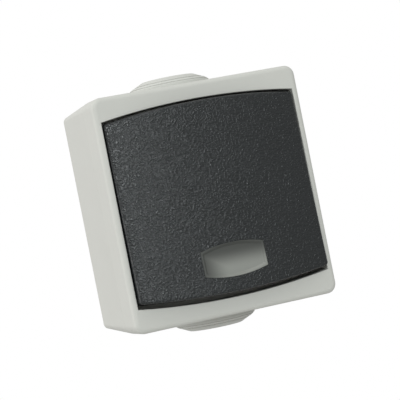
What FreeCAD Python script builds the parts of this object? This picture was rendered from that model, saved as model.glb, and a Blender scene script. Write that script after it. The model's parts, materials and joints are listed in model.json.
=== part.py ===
import FreeCAD, Part
import Sketcher
import math
import os
import re

# Outdoor weatherproof switch for surface mounting: housing, cover, glands, rocker and switch mechanism.
# Row frame: +X to the right seen from the front, +Y into the wall, +Z up, origin at the centre of the
# rear face. A depth is a distance in front of the wall, so a point at depth d has y = -d.

Vector = FreeCAD.Vector
Rotation = FreeCAD.Rotation
Placement = FreeCAD.Placement

document = FreeCAD.newDocument("WeatherproofSwitch")

# Driving sizes in millimetres and degrees, each with what it measures.
driving_sizes = [
    ("cover_width", 69.0, "width of cover and housing at the parting line"),
    ("cover_height", 75.0, "height of cover and housing at the parting line"),
    ("corner_radius", 3.2, "outer corners seen from the front"),
    ("housing_depth", 31.9, "wall to parting line"),
    ("cover_depth", 12.4, "parting line to front face"),
    ("draft_angle", 2.6, "taper of the housing towards the wall"),
    ("front_edge_radius", 1.6, "rounding of the front edge"),
    ("rear_edge_radius", 0.9, "rounding of the rear edge"),
    ("parting_bevel", 0.2, "bevel on both sides of the parting line"),
    ("wall_thickness", 2.4, "side walls"),
    ("floor_thickness", 2.4, "rear wall"),
    ("cavity_radius", 2.4, "inner corners of the housing"),
    ("part_clearance", 0.05, "play between pieces that fit together"),
    ("rim_thickness", 1.3, "outer rim of the housing beside the gasket"),
    ("rebate_depth", 4.0, "step in the rim for gasket and tongue"),
    ("gasket_thickness", 1.2, "gasket under the tongue"),
    ("tongue_width", 1.0, "tongue of the cover"),
    ("side_margin", 2.1, "cover beside the opening"),
    ("end_margin", 7.85, "cover above and below the opening's corners"),
    ("arch_rise", 2.4, "rise of the opening's arched top and bottom"),
    ("opening_edge_radius", 0.3, "rounding of the opening's edge"),
    ("front_wall", 2.0, "front wall above and below the opening"),
    ("opening_wall", 1.6, "wall around the opening, top and bottom"),
    ("deck_thickness", 2.2, "deck under the rocker"),
    ("rocker_gap", 0.4, "gap at each side of the rocker"),
    ("rocker_end_gap", 1.1, "gap above and below the rocker at its corners"),
    ("rocker_rise", 2.15, "rise of the rocker's arched top and bottom"),
    ("rocker_corner_radius", 0.8, "corners of the rocker seen from the front"),
    ("rocker_edge_radius", 0.7, "rounded front edge of the rocker"),
    ("side_rise", 1.3, "front edge of the rocker's sides in front of the cover, level"),
    ("rocker_crown", 3.6, "rise of the rocker's middle over its sides"),
    ("rocker_wall", 1.8, "rocker wall"),
    ("rest_tilt", 2.5, "tilt at rest, lower edge out"),
    ("skirt_clearance", 0.35, "skirt to deck at full tilt"),
    ("pivot_rise", 2.4, "rocker's pivot axis in front of the deck"),
    ("lens_width", 20.8, "indicator window"),
    ("lens_corner_height", 7.6, "window at its sides"),
    ("lens_rise", 1.45, "rise of the window's arched edges"),
    ("lens_margin", 8.15, "window centre above the rocker's lower corners"),
    ("lens_recess", 0.25, "window behind the rocker's face"),
    ("lens_bevel", 0.35, "bevel of the rocker around the window"),
    ("dish_depth", 0.85, "hollow of the window's face at its middle"),
    ("dish_slope", 45.0, "slope of the hollow's sides"),
    ("dish_rim", 0.25, "window's face around the hollow"),
    ("lens_flange", 1.2, "flange of the window, width and thickness"),
    ("lens_seat_wall", 1.5, "rocker wall left at the window's seat"),
    ("lens_seat_play", 0.5, "seat beyond the window's flange"),
    ("gland_offset", 2.15, "gland axis in front of the housing's middle"),
    ("gland_seat_thickness", 3.6, "gland seat"),
    ("gland_seat_margin", 0.2, "gland seat behind the parting line"),
    ("gland_seat_edge", 0.1, "seat beyond the first ring"),
    ("gland_flange_edge", 0.4, "first ring beyond the second"),
    ("gland_flange_rise", 1.55, "first ring above the seat"),
    ("gland_middle_slope", 1.35, "sloping side of the second ring"),
    ("gland_middle_edge", 0.75, "second ring beyond the last"),
    ("gland_middle_rise", 1.15, "second ring above the first"),
    ("gland_nose_slope", 2.4, "sloping side of the last ring"),
    ("gland_nose_rise", 1.5, "last ring above the second"),
    ("gland_groove", 0.35, "groove between two rings"),
    ("gland_lip", 1.3, "inner lip beyond the hole"),
    ("gland_lip_thickness", 1.0, "inner lip"),
    ("gland_lip_overhang", 0.4, "inner lip beyond its seat"),
    ("gland_membrane", 1.1, "rubber wall"),
    ("wall_hole_inset_across", 14.5, "wall screws inside the cover's sides"),
    ("wall_hole_inset_up", 10.5, "wall screws inside the cover's top and bottom"),
    ("wall_hole_radius", 2.25, "wall screw hole"),
    ("wall_boss_radius", 4.3, "boss around a wall screw hole"),
    ("wall_boss_rise", 1.8, "boss above the floor"),
    ("rear_recess_depth", 0.8, "shallow recess in the rear face"),
    ("rear_rim", 4.0, "rim around the rear recess"),
    ("centre_pad_radius", 5.0, "pad in the middle of the rear face"),
    ("knockout_radius", 8.5, "rear cable entry"),
    ("knockout_drop", 18.0, "rear cable entry below the centre"),
    ("knockout_groove", 0.9, "groove around the rear cable entry"),
    ("knockout_skin", 0.6, "wall left in that groove"),
    ("post_inset", 4.9, "post's axis from the inside of the side wall"),
    ("post_radius", 3.0, "post"),
    ("plate_setback", 4.9, "rear of the mounting plate behind the parting line"),
    ("plate_thickness", 1.2, "mounting plate"),
    ("plate_play", 1.2, "mounting plate beside a post"),
    ("plate_height", 50.0, "mounting plate"),
    ("plate_ear_width", 9.0, "ears for the plate screws"),
    ("plate_corner", 1.5, "corners of the mounting plate"),
    ("rib_thickness", 1.6, "ribs beside posts and bosses"),
    ("cover_boss_inset", 7.0, "cover screws inside the cover's sides"),
    ("cover_boss_drop", 7.65, "cover screws inside the opening's corners"),
    ("cover_boss_radius", 3.4, "boss under a cover screw"),
    ("core_radius", 1.4, "screw thread in a boss"),
    ("core_length", 11.0, "thread in a boss"),
    ("core_runout", 1.0, "bore beyond the end of a screw"),
    ("screw_hole_play", 0.3, "plate's hole around a screw thread"),
    ("cover_screw_head", 3.1, "countersunk head radius"),
    ("cover_screw_hole", 1.75, "hole in the deck"),
    ("plate_screw_head", 2.9, "pan head radius"),
    ("plate_screw_rise", 1.9, "pan head height"),
    ("slot_width", 0.9, "slot in a screw head"),
    ("slot_depth", 0.9, "slot in a screw head"),
    ("base_margin", 1.0, "base inside the plate's sides"),
    ("base_end_margin", 4.0, "base inside the plate's top and bottom"),
    ("base_depth", 17.0, "mechanism base behind the plate"),
    ("base_bevel", 1.0, "rear edge of the base"),
    ("base_side_wall", 5.0, "side walls of the contact chamber"),
    ("base_end_wall", 3.0, "upper and lower wall of the contact chamber"),
    ("chamber_depth", 10.0, "contact chamber"),
    ("rivet_up", 30.0, "rivets, upright"),
    ("rivet_radius", 1.1, "rivet shank"),
    ("rivet_head_radius", 1.9, "rivet head"),
    ("rivet_head_rise", 0.7, "rivet head"),
    ("flange_thickness", 1.2, "flange of the mechanism cover"),
    ("tower_margin", 7.0, "raised part of the mechanism cover inside the base's sides"),
    ("tower_end_margin", 1.0, "raised part inside the base's top"),
    ("lamp_margin", 3.8, "raised part below the lamp's axis"),
    ("tower_rise", 3.6, "raised part in front of its flange"),
    ("tower_radius", 2.0, "its corners"),
    ("tower_edge_radius", 0.6, "its front edge"),
    ("window_play", 0.4, "deck window around the raised part"),
    ("seal_width", 1.6, "mechanism seal"),
    ("ear_thickness", 2.1, "bearing ear"),
    ("ear_radius", 3.2, "bearing ear around the pivot"),
    ("ear_root", 0.8, "bearing ear sunk into the raised part"),
    ("pin_radius", 1.5, "pivot pin"),
    ("cheek_play", 0.5, "cradle cheek beside the ear"),
    ("cheek_thickness", 1.8, "cradle cheek"),
    ("cheek_radius", 2.9, "cradle cheek around the pivot"),
    ("cradle_height", 29.0, "cradle plate"),
    ("cradle_rise", 4.5, "front of the cradle plate in front of the pivot"),
    ("cradle_thickness", 1.6, "cradle plate"),
    ("cradle_corner", 1.5, "corners of the cradle plate"),
    ("root_cover", 1.3, "rocker wall over the roots of ribs and hooks"),
    ("rib_margin", 4.4, "rocker rib inside the cradle's sides"),
    ("rib_end_gap", 0.45, "rocker rib to the window's seat"),
    ("hook_offset", 6.0, "rocker hook above or below the centre"),
    ("hook_width", 4.0, "rocker hook"),
    ("hook_thickness", 1.2, "rocker hook"),
    ("hook_barb", 0.9, "barb behind the cradle plate"),
    ("stem_radius", 3.2, "tube of the cradle"),
    ("stem_drop", 6.0, "rear end of the tube behind the pivot"),
    ("stem_cap", 0.5, "closed end of the tube behind the cradle plate"),
    ("slot_half_width", 5.0, "slot for the tube in the mechanism cover"),
    ("slot_half_height", 5.5, "slot for the tube in the mechanism cover"),
    ("plunger_radius", 2.0, "plunger"),
    ("plunger_length", 9.3, "plunger"),
    ("plunger_taper", 2.0, "tapered end"),
    ("plunger_shoulder_radius", 1.2, "end of the taper"),
    ("plunger_tip_radius", 0.5, "flat of the tip"),
    ("plunger_tip_bevel", 0.4, "length of the tip's bevel"),
    ("plunger_tip_gap", 0.2, "plunger tip in front of the blade"),
    ("spring_radius", 1.45, "middle of the spring's wire"),
    ("spring_wire", 0.25, "radius of the spring's wire"),
    ("spring_turns", 4.0, "turns"),
    ("bore_play", 0.1, "plunger in its bore"),
    ("blade_setback", 3.8, "pivot of the blade behind the mounting plate"),
    ("contact_tilt", 4.0, "tilt of the blade at rest"),
    ("blade_width", 6.8, "blade"),
    ("blade_length", 20.4, "blade"),
    ("blade_thickness", 0.8, "blade"),
    ("blade_corner", 1.0, "corners of the blade"),
    ("blade_groove", 0.4, "round groove across the blade at its pivot"),
    ("tip_radius", 1.5, "contact tip"),
    ("tip_thickness", 0.6, "contact tip"),
    ("tip_arm", 8.6, "contact tip from the pivot"),
    ("tip_gap", 0.2, "closed contact, left open for the motion"),
    ("strip_thickness", 1.0, "conductor strips"),
    ("strip_width", 6.0, "conductor strips"),
    ("arm_half_width", 1.4, "arm of the common strip"),
    ("knife_half_width", 2.5, "knife edge under the blade"),
    ("knife_half_thickness", 1.0, "knife edge under the blade"),
    ("knife_bevel", 0.7, "bevel of the knife edge"),
    ("pad_half_width", 2.0, "upstand under a fixed contact"),
    ("fixed_contact_rise", 0.5, "fixed contact above its upstand"),
    ("terminal_margin", 6.0, "lower terminals inside the chamber's sides"),
    ("clamp_size", 6.0, "clamp block"),
    ("clamp_height", 7.0, "clamp block"),
    ("wire_hole_radius", 1.5, "wire hole in a clamp"),
    ("wire_rise", 2.3, "middle of a wire above its strip"),
    ("wire_entry_radius", 1.9, "wire hole in the base"),
    ("terminal_head_radius", 2.4, "terminal screw head"),
    ("terminal_head_rise", 1.8, "terminal screw head"),
    ("terminal_access_radius", 2.8, "access to a terminal screw"),
    ("lamp_radius", 1.9, "indicator lamp"),
    ("lamp_length", 9.0, "indicator lamp"),
    ("lamp_bevel", 0.6, "bevel of the lamp's tip"),
    ("lamp_socket_depth", 2.0, "lamp in its socket"),
]

# Sizes that follow from the driving ones.
derived_sizes = {
    "opening_width": "cover_width - 2 * side_margin",
    "opening_corner_height": "cover_height - 2 * end_margin",
    "rocker_corner_height": "opening_corner_height - 2 * rocker_end_gap",
    "rocker_side_depth": "housing_depth + cover_depth + side_rise",
    "pivot_depth": "housing_depth + deck_thickness + pivot_rise",
    "lens_drop": "rocker_corner_height / 2 - lens_margin",
    "gland_depth": "housing_depth / 2 + gland_offset",
    "gland_seat_radius": "housing_depth - gland_depth - gland_seat_margin",
    "gland_flange_radius": "gland_seat_radius - gland_seat_edge",
    "gland_middle_foot": "gland_flange_radius - gland_flange_edge",
    "gland_middle_radius": "gland_middle_foot - gland_middle_slope",
    "gland_nose_foot": "gland_middle_radius - gland_middle_edge",
    "gland_nose_radius": "gland_nose_foot - gland_nose_slope",
    "gland_hole_radius": "gland_nose_radius",
    "gland_seat_height": "cover_height / 2",
    "gland_inner_height": "gland_seat_height - gland_seat_thickness",
    "gland_flange_top": "gland_seat_height + gland_flange_rise",
    "gland_middle_top": "gland_flange_top + gland_middle_rise",
    "gland_nose_top": "gland_middle_top + gland_nose_rise",
    "wall_hole_spacing_across": "cover_width - 2 * wall_hole_inset_across",
    "wall_hole_spacing_up": "cover_height - 2 * wall_hole_inset_up",
    "post_spacing": "cover_width - 2 * wall_thickness - 2 * post_inset",
    "plate_depth": "housing_depth - plate_setback",
    "plate_width": "post_spacing - 2 * post_radius - 2 * plate_play",
    "cover_boss_across": "cover_width - 2 * cover_boss_inset",
    "cover_boss_up": "opening_corner_height - 2 * cover_boss_drop",
    "base_width": "plate_width - 2 * base_margin",
    "base_height": "plate_height - 2 * base_end_margin",
    "chamber_width": "base_width - 2 * base_side_wall",
    "chamber_height": "base_height - 2 * base_end_wall",
    "rivet_across": "base_width - base_side_wall",
    "tower_width": "base_width - 2 * tower_margin",
    "tower_top": "base_height / 2 - tower_end_margin",
    "tower_bottom": "lens_drop + lamp_margin",
    "cradle_front": "pivot_depth + cradle_rise",
    "rib_offset": "tower_width / 2 - ear_thickness - cheek_play - rib_margin",
    "window_seat_half_height": "lens_corner_height / 2 + lens_rise + lens_flange + lens_seat_play",
    "rib_half_length": "lens_drop - window_seat_half_height - rib_end_gap",
    "stem_end": "pivot_depth - stem_drop",
    "contact_pivot_depth": "plate_depth - blade_setback",
    "terminal_across": "chamber_width / 2 - terminal_margin",
    "terminal_up": "chamber_height / 2 - clamp_size / 2",
}

sizes = document.addObject("Spreadsheet::Sheet", "Sizes")
for row, (alias, number, meaning) in enumerate(driving_sizes, start=1):
    sizes.set("A%d" % row, meaning)
    sizes.set("B%d" % row, str(number))
    sizes.setAlias("B%d" % row, alias)
document.recompute()
known_aliases = {alias for alias, number, meaning in driving_sizes}

# How far cutting shapes reach past the material, and how near a point counts as on an outline.
overcut = "1"
nearby = 0.1


def tie(text):
    """Turns a formula in the names above into an expression that other objects understand."""
    def with_sheet(match):
        word = match.group(0)
        if word in derived_sizes:
            return "(" + tie(derived_sizes[word]) + ")"
        return "Sizes." + word if word in known_aliases else word

    return re.sub(r"[a-z_]+", with_sheet, text)


def value(text):
    return float(sizes.evalExpression(tie(text)))


# Places that several pieces share, as formulas in those names.
front_depth = "(housing_depth + cover_depth)"
deck_front = "(housing_depth + deck_thickness)"
rocker_width = "(opening_width - 2 * rocker_gap)"
half_swing = "(sin(rest_tilt) * (rocker_corner_height / 2 + rocker_rise))"
skirt_end = "(%s + skirt_clearance + %s)" % (deck_front, half_swing)
crown_radius = "((%s^2 / 4 + rocker_crown^2) / (2 * rocker_crown))" % rocker_width
crown_depth = "(rocker_side_depth + rocker_crown)"
flange_front = "(plate_depth + plate_thickness + flange_thickness)"
tower_front = "(%s + tower_rise)" % flange_front
chamber_floor = "(plate_depth - chamber_depth)"
strip_front = "(%s + strip_thickness)" % chamber_floor
ear_inner = "(tower_width / 2 - ear_thickness)"
cheek_outer = "(%s - cheek_play)" % ear_inner
cheek_inner = "(%s - cheek_thickness)" % cheek_outer
cradle_rear = "(cradle_front - cradle_thickness)"
plunger_tip = "(contact_pivot_depth + blade_thickness + plunger_tip_gap)"
plunger_top = "(%s + plunger_length)" % plunger_tip
bore_end = "(%s - stem_cap)" % cradle_rear
lens_seat = "(%s - lens_seat_wall)" % crown_depth
contact_face = "(contact_pivot_depth - tip_thickness - sin(contact_tilt) * (tip_arm + tip_radius) - tip_gap)"


def new_body(label):
    body = document.addObject("PartDesign::Body", label)
    body.Label = label
    return body


def new_sketch(body, name, plane, offset):
    """A sketch parallel to one of the body's own planes. On XZ_Plane the offset is a depth."""
    sketch = body.newObject("Sketcher::SketchObject", name)
    origin_plane = [f for f in body.Origin.OriginFeatures if f.Role == plane][0]
    sketch.AttachmentSupport = [(origin_plane, "")]
    sketch.MapMode = "FlatFace"
    sketch.setExpression("AttachmentOffset.Base.z", tie(offset))
    return sketch


def hold(sketch, constraint, formula):
    index = sketch.addConstraint(constraint)
    sketch.setExpression("Constraints[%d]" % index, tie(formula))


def place_point(sketch, geometry, point, across, up):
    hold(sketch, Sketcher.Constraint("DistanceX", -1, 1, geometry, point, value(across)), across)
    hold(sketch, Sketcher.Constraint("DistanceY", -1, 1, geometry, point, value(up)), up)


def draw_circle(sketch, across, up, radius):
    centre = Vector(value(across), value(up), 0)
    circle = sketch.addGeometry(Part.Circle(centre, Vector(0, 0, 1), value(radius)))
    place_point(sketch, circle, 3, across, up)
    hold(sketch, Sketcher.Constraint("Radius", circle, value(radius)), radius)


def draw_polygon(sketch, corners):
    """A closed outline of straight lines through corners given as pairs of formulas."""
    points = [Vector(value(a), value(b), 0) for a, b in corners]
    first = None
    for index, point in enumerate(points):
        line = sketch.addGeometry(Part.LineSegment(point, points[(index + 1) % len(points)]))
        first = line if first is None else first
    for index, (across, up) in enumerate(corners):
        following = first + (index + 1) % len(corners)
        sketch.addConstraint(Sketcher.Constraint("Coincident", first + index, 2, following, 1))
        place_point(sketch, first + index, 1, across, up)


def draw_rectangle(sketch, left, low, right, high):
    draw_polygon(sketch, [(left, low), (right, low), (right, high), (left, high)])


def draw_rounded_rectangle(sketch, width, height, radius, centre_up="0"):
    """A rectangle with round corners about (0, centre_up): four lines and four tangent arcs."""
    half_width = value(width) / 2
    half_height = value(height) / 2
    r = value(radius)
    middle = value(centre_up)
    centres = [(1, 1), (-1, 1), (-1, -1), (1, -1)]
    arcs = []
    for index, (side, level) in enumerate(centres):
        centre = Vector(side * (half_width - r), middle + level * (half_height - r), 0)
        circle = Part.Circle(centre, Vector(0, 0, 1), r)
        start = index * math.pi / 2
        arcs.append(sketch.addGeometry(Part.ArcOfCircle(circle, start, start + math.pi / 2)))
    lines = []
    for index in range(4):
        start = sketch.getPoint(arcs[index], 2)
        end = sketch.getPoint(arcs[(index + 1) % 4], 1)
        lines.append(sketch.addGeometry(Part.LineSegment(start, end)))
    for index in range(4):
        sketch.addConstraint(Sketcher.Constraint("Tangent", arcs[index], 2, lines[index], 1))
        sketch.addConstraint(Sketcher.Constraint("Tangent", lines[index], 2, arcs[(index + 1) % 4], 1))
    for index in (0, 2):
        sketch.addConstraint(Sketcher.Constraint("Horizontal", lines[index]))
        sketch.addConstraint(Sketcher.Constraint("Vertical", lines[index + 1]))
    for index in (1, 2, 3):
        sketch.addConstraint(Sketcher.Constraint("Equal", arcs[0], arcs[index]))
    hold(sketch, Sketcher.Constraint("Radius", arcs[0], r), radius)
    place_point(sketch, arcs[0], 3, "%s / 2 - %s" % (width, radius),
                "%s + %s / 2 - %s" % (centre_up, height, radius))
    place_point(sketch, arcs[2], 3, "%s - %s / 2" % (radius, width),
                "%s + %s - %s / 2" % (centre_up, radius, height))


def arch_radius(width, rise):
    return "((%s^2 / 4 + (%s)^2) / (2 * (%s)))" % (width, rise, rise)


def draw_barrel(sketch, width, corner_height, rise, centre_up="0"):
    """Straight sides with arched top and bottom, about (0, centre_up)."""
    half_width = value(width) / 2
    half_height = value(corner_height) / 2
    middle = value(centre_up)
    radius = arch_radius(width, rise)
    crown = value(rise)
    top = Part.Arc(Vector(half_width, middle + half_height, 0), Vector(0, middle + half_height + crown, 0),
                   Vector(-half_width, middle + half_height, 0))
    bottom = Part.Arc(Vector(-half_width, middle - half_height, 0), Vector(0, middle - half_height - crown, 0),
                      Vector(half_width, middle - half_height, 0))
    arcs = [sketch.addGeometry(top), sketch.addGeometry(bottom)]
    left = sketch.addGeometry(Part.LineSegment(Vector(-half_width, middle + half_height, 0),
                                               Vector(-half_width, middle - half_height, 0)))
    right = sketch.addGeometry(Part.LineSegment(Vector(half_width, middle - half_height, 0),
                                                Vector(half_width, middle + half_height, 0)))
    sketch.addConstraint(Sketcher.Constraint("Coincident", arcs[0], 2, left, 1))
    sketch.addConstraint(Sketcher.Constraint("Coincident", left, 2, arcs[1], 1))
    sketch.addConstraint(Sketcher.Constraint("Coincident", arcs[1], 2, right, 1))
    sketch.addConstraint(Sketcher.Constraint("Coincident", right, 2, arcs[0], 1))
    for line, top_point, bottom_point, side in ((left, 1, 2, "-"), (right, 2, 1, "")):
        across = "%s%s / 2" % (side, width)
        place_point(sketch, line, top_point, across, "%s + %s / 2" % (centre_up, corner_height))
        place_point(sketch, line, bottom_point, across, "%s - %s / 2" % (centre_up, corner_height))
    for arc in arcs:
        hold(sketch, Sketcher.Constraint("Radius", arc, value(radius)), radius)


def new_feature(body, kind, name, sketch):
    feature = body.newObject("PartDesign::" + kind, name)
    feature.Profile = sketch
    sketch.Visibility = False
    return feature


def pad(body, name, sketch, length, reverse=False, draft=None):
    feature = new_feature(body, "Pad", name, sketch)
    feature.Reversed = reverse
    feature.setExpression("Length", tie(length))
    if draft:
        feature.setExpression("TaperAngle", tie(draft))
    return feature


def pocket(body, name, sketch, length, reverse=False, draft=None):
    feature = new_feature(body, "Pocket", name, sketch)
    feature.Reversed = reverse
    feature.setExpression("Length", tie(length))
    if draft:
        feature.setExpression("TaperAngle", tie(draft))
    return feature


def slab(body, name, draw, low, high, plane="XZ_Plane"):
    """Material between two depths, with the outline that draw puts in the sketch."""
    sketch = new_sketch(body, name + "_outline", plane, low)
    draw(sketch)
    return pad(body, name, sketch, "%s - (%s)" % (high, low))


def cut(body, name, draw, low, high, plane="XZ_Plane"):
    """Takes away material between two depths. The sketch lies at the higher one and cuts to the lower."""
    sketch = new_sketch(body, name + "_outline", plane, high)
    draw(sketch)
    return pocket(body, name, sketch, "%s - (%s)" % (high, low))


def through_cut(body, name, sketch):
    feature = new_feature(body, "Pocket", name, sketch)
    feature.Type = "ThroughAll"
    feature.SideType = "Symmetric"
    return feature


def dress(body, kind, name, feature, chosen, size):
    """Rounds or bevels the edges of a feature for which chosen(edge) holds."""
    document.recompute()
    edges = ["Edge%d" % (i + 1) for i, edge in enumerate(feature.Shape.Edges) if chosen(edge)]
    if not edges:
        raise RuntimeError(name + ": no edge found")
    result = body.newObject("PartDesign::" + kind, name)
    result.Base = (feature, edges)
    result.setExpression("Radius" if kind == "Fillet" else "Size", tie(size))
    return result


def revolve(body, name, sketch, axis="V_Axis"):
    feature = new_feature(body, "Revolution", name, sketch)
    feature.ReferenceAxis = (sketch, [axis])
    feature.Angle = 360
    return feature


def points_of(edge):
    low, high = edge.ParameterRange
    return [edge.valueAt(low + (high - low) * share) for share in (0.0, 0.25, 0.5, 0.75, 1.0)]


def at_depth(edge, depth):
    return all(abs(p.y + depth) < 1e-4 for p in points_of(edge))


def along_depth(edge):
    points = points_of(edge)
    moved = points[-1] - points[0]
    return abs(moved.y) > 0.5 * edge.Length


def four_corners(across, up):
    return [(side + "%s / 2" % across, level + "%s / 2" % up) for side in ("", "-") for level in ("", "-")]


terminal_places = [
    ("0", "terminal_up"),
    ("-terminal_across", "-terminal_up"),
    ("terminal_across", "-terminal_up"),
]


def make_rear_housing():
    body = new_body("rear_housing")
    outline = new_sketch(body, "outer_outline", "XZ_Plane", "housing_depth")
    draw_rounded_rectangle(outline, "cover_width", "cover_height", "corner_radius")
    shell = pad(body, "outer_shell", outline, "housing_depth", reverse=True, draft="-draft_angle")
    rear = dress(body, "Fillet", "rear_edge", shell, lambda edge: at_depth(edge, 0), "rear_edge_radius")
    parting = value("housing_depth")
    dress(body, "Chamfer", "parting_edge", rear, lambda edge: at_depth(edge, parting), "parting_bevel")

    # Flat seats for the two glands, trimmed by the cavity that follows.
    for name, sign, reverse in (("top", "", True), ("bottom", "-", False)):
        seat = new_sketch(body, name + "_seat_outline", "XY_Plane", sign + "gland_seat_height")
        draw_circle(seat, "0", "-gland_depth", "gland_seat_radius")
        pad(body, name + "_seat", seat, "gland_seat_height - gland_inner_height", reverse=reverse)

    cavity = new_sketch(body, "cavity_outline", "XZ_Plane", "housing_depth")
    draw_rounded_rectangle(cavity, "(cover_width - 2 * wall_thickness)", "(cover_height - 2 * wall_thickness)",
                           "cavity_radius")
    pocket(body, "cavity", cavity, "housing_depth - floor_thickness", draft="-draft_angle")
    cut(body, "rim_rebate",
        lambda sketch: draw_rounded_rectangle(sketch, "(cover_width - 2 * rim_thickness)",
                                              "(cover_height - 2 * rim_thickness)",
                                              "(corner_radius - rim_thickness)"),
        "housing_depth - rebate_depth", "housing_depth")
    inner_seat_radius = "(gland_hole_radius + gland_lip - gland_lip_overhang)"
    for name, sign, reverse in (("top", "", True), ("bottom", "-", False)):
        seat = new_sketch(body, name + "_inner_seat_outline", "XY_Plane", sign + "gland_seat_height")
        draw_circle(seat, "0", "-gland_depth", inner_seat_radius)
        pad(body, name + "_inner_seat", seat, "gland_seat_height - gland_inner_height", reverse=reverse)

    # Posts for the mounting plate and bosses for the cover screws, each with a rib to the side wall.
    wall_inside = "(cover_width / 2 - wall_thickness)"
    rib_top = "(housing_depth - rebate_depth)"
    for name, side in (("right", ""), ("left", "-")):
        slab(body, name + "_post",
             lambda sketch: draw_circle(sketch, side + "post_spacing / 2", "0", "post_radius"),
             "floor_thickness / 2", "plate_depth")
        slab(body, name + "_post_rib",
             lambda sketch: draw_rectangle(sketch, side + "post_spacing / 2", "-rib_thickness / 2",
                                           side + wall_inside, "rib_thickness / 2"),
             "floor_thickness / 2", "min(plate_depth; %s)" % rib_top)
    for index, (across, up) in enumerate(four_corners("cover_boss_across", "cover_boss_up")):
        side = "-" if across.startswith("-") else ""
        slab(body, "cover_boss_%d" % index,
             lambda sketch: draw_circle(sketch, across, up, "cover_boss_radius"),
             "floor_thickness / 2", "housing_depth")
        slab(body, "cover_boss_rib_%d" % index,
             lambda sketch: draw_rectangle(sketch, across, up + " - rib_thickness / 2",
                                           side + wall_inside, up + " + rib_thickness / 2"),
             "floor_thickness / 2", rib_top)
    for index, (across, up) in enumerate(four_corners("wall_hole_spacing_across", "wall_hole_spacing_up")):
        slab(body, "wall_boss_%d" % index,
             lambda sketch: draw_circle(sketch, across, up, "wall_boss_radius"),
             "floor_thickness / 2", "floor_thickness + wall_boss_rise")

    # Shallow rear recess with pads left at the middle and around the wall holes.
    recess = new_sketch(body, "rear_recess_outline", "XZ_Plane", "0")
    draw_rounded_rectangle(recess, "(cover_width - 2 * rear_rim - 2 * housing_depth * tan(draft_angle))",
                           "(cover_height - 2 * rear_rim - 2 * housing_depth * tan(draft_angle))",
                           "cavity_radius")
    draw_circle(recess, "0", "0", "centre_pad_radius")
    for across, up in four_corners("wall_hole_spacing_across", "wall_hole_spacing_up"):
        draw_circle(recess, across, up, "wall_boss_radius")
    pocket(body, "rear_recess", recess, "rear_recess_depth", reverse=True)
    groove = new_sketch(body, "knockout_outline", "XZ_Plane", "floor_thickness")
    draw_circle(groove, "0", "-knockout_drop", "knockout_radius + knockout_groove")
    draw_circle(groove, "0", "-knockout_drop", "knockout_radius")
    pocket(body, "knockout_ring", groove, "floor_thickness - rear_recess_depth - knockout_skin")

    for index, (across, up) in enumerate(four_corners("wall_hole_spacing_across", "wall_hole_spacing_up")):
        cut(body, "wall_hole_%d" % index, lambda sketch: draw_circle(sketch, across, up, "wall_hole_radius"),
            "0", "floor_thickness + wall_boss_rise")
    for index, (across, up) in enumerate(four_corners("cover_boss_across", "cover_boss_up")):
        cut(body, "cover_core_%d" % index,
            lambda sketch: draw_circle(sketch, across, up, "core_radius + part_clearance"),
            "housing_depth - core_length - core_runout", "housing_depth")
    for name, side in (("right", ""), ("left", "-")):
        cut(body, name + "_post_core",
            lambda sketch: draw_circle(sketch, side + "post_spacing / 2", "0", "core_radius + part_clearance"),
            "plate_depth - core_length - core_runout", "plate_depth")
    holes = new_sketch(body, "gland_hole_outline", "XY_Plane", "0")
    draw_circle(holes, "0", "-gland_depth", "gland_hole_radius")
    through_cut(body, "gland_holes", holes)
    return body


def make_gland(label, turn):
    """Stepped rubber membrane, turned about its upright axis; the lower one is the same piece upside down."""
    body = new_body(label)
    profile = new_sketch(body, label + "_profile", "XZ_Plane", "gland_depth")
    neck = "(gland_hole_radius - part_clearance)"
    lip_bottom = "(gland_inner_height - gland_lip_thickness)"
    lip_radius = "(gland_hole_radius + gland_lip)"
    middle_neck = "(gland_middle_foot - gland_groove)"
    nose_neck = "(gland_nose_foot - gland_groove)"
    bore = "(gland_hole_radius - part_clearance - gland_membrane)"
    draw_polygon(profile, [
        ("0", "(gland_nose_top - gland_membrane)"),
        ("(gland_nose_radius - gland_membrane - gland_groove)", "(gland_nose_top - gland_membrane)"),
        ("(gland_nose_radius - gland_membrane - gland_groove)", "(gland_middle_top - gland_membrane)"),
        (bore, "(gland_flange_top - gland_membrane)"),
        (bore, lip_bottom),
        (lip_radius, lip_bottom),
        (lip_radius, "gland_inner_height"),
        (neck, "gland_inner_height"),
        (neck, "gland_seat_height"),
        ("gland_flange_radius", "gland_seat_height"),
        ("gland_flange_radius", "gland_flange_top - gland_groove"),
        ("gland_flange_radius - gland_groove", "gland_flange_top"),
        (middle_neck, "gland_flange_top"),
        (middle_neck, "gland_flange_top + gland_groove"),
        ("gland_middle_foot", "gland_flange_top + gland_groove"),
        ("gland_middle_radius", "gland_middle_top"),
        (nose_neck, "gland_middle_top"),
        (nose_neck, "gland_middle_top + gland_groove"),
        ("gland_nose_foot", "gland_middle_top + gland_groove"),
        ("gland_nose_radius", "gland_nose_top"),
        ("0", "gland_nose_top"),
    ])
    revolve(body, label + "_turned", profile)
    body.Placement = Placement(Vector(0, 0, 0), Rotation(Vector(0, 1, 0), turn))
    return body


def make_housing_gasket():
    body = new_body("housing_gasket")
    play = "(rim_thickness + part_clearance)"

    def draw(sketch):
        draw_rounded_rectangle(sketch, "(cover_width - 2 * %s)" % play, "(cover_height - 2 * %s)" % play,
                               "(corner_radius - %s)" % play)
        inner = "(%s + tongue_width)" % play
        draw_rounded_rectangle(sketch, "(cover_width - 2 * %s)" % inner, "(cover_height - 2 * %s)" % inner,
                               "(corner_radius - %s)" % inner)

    slab(body, "gasket_ring", draw, "housing_depth - rebate_depth",
         "housing_depth - rebate_depth + gasket_thickness")
    return body


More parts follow.
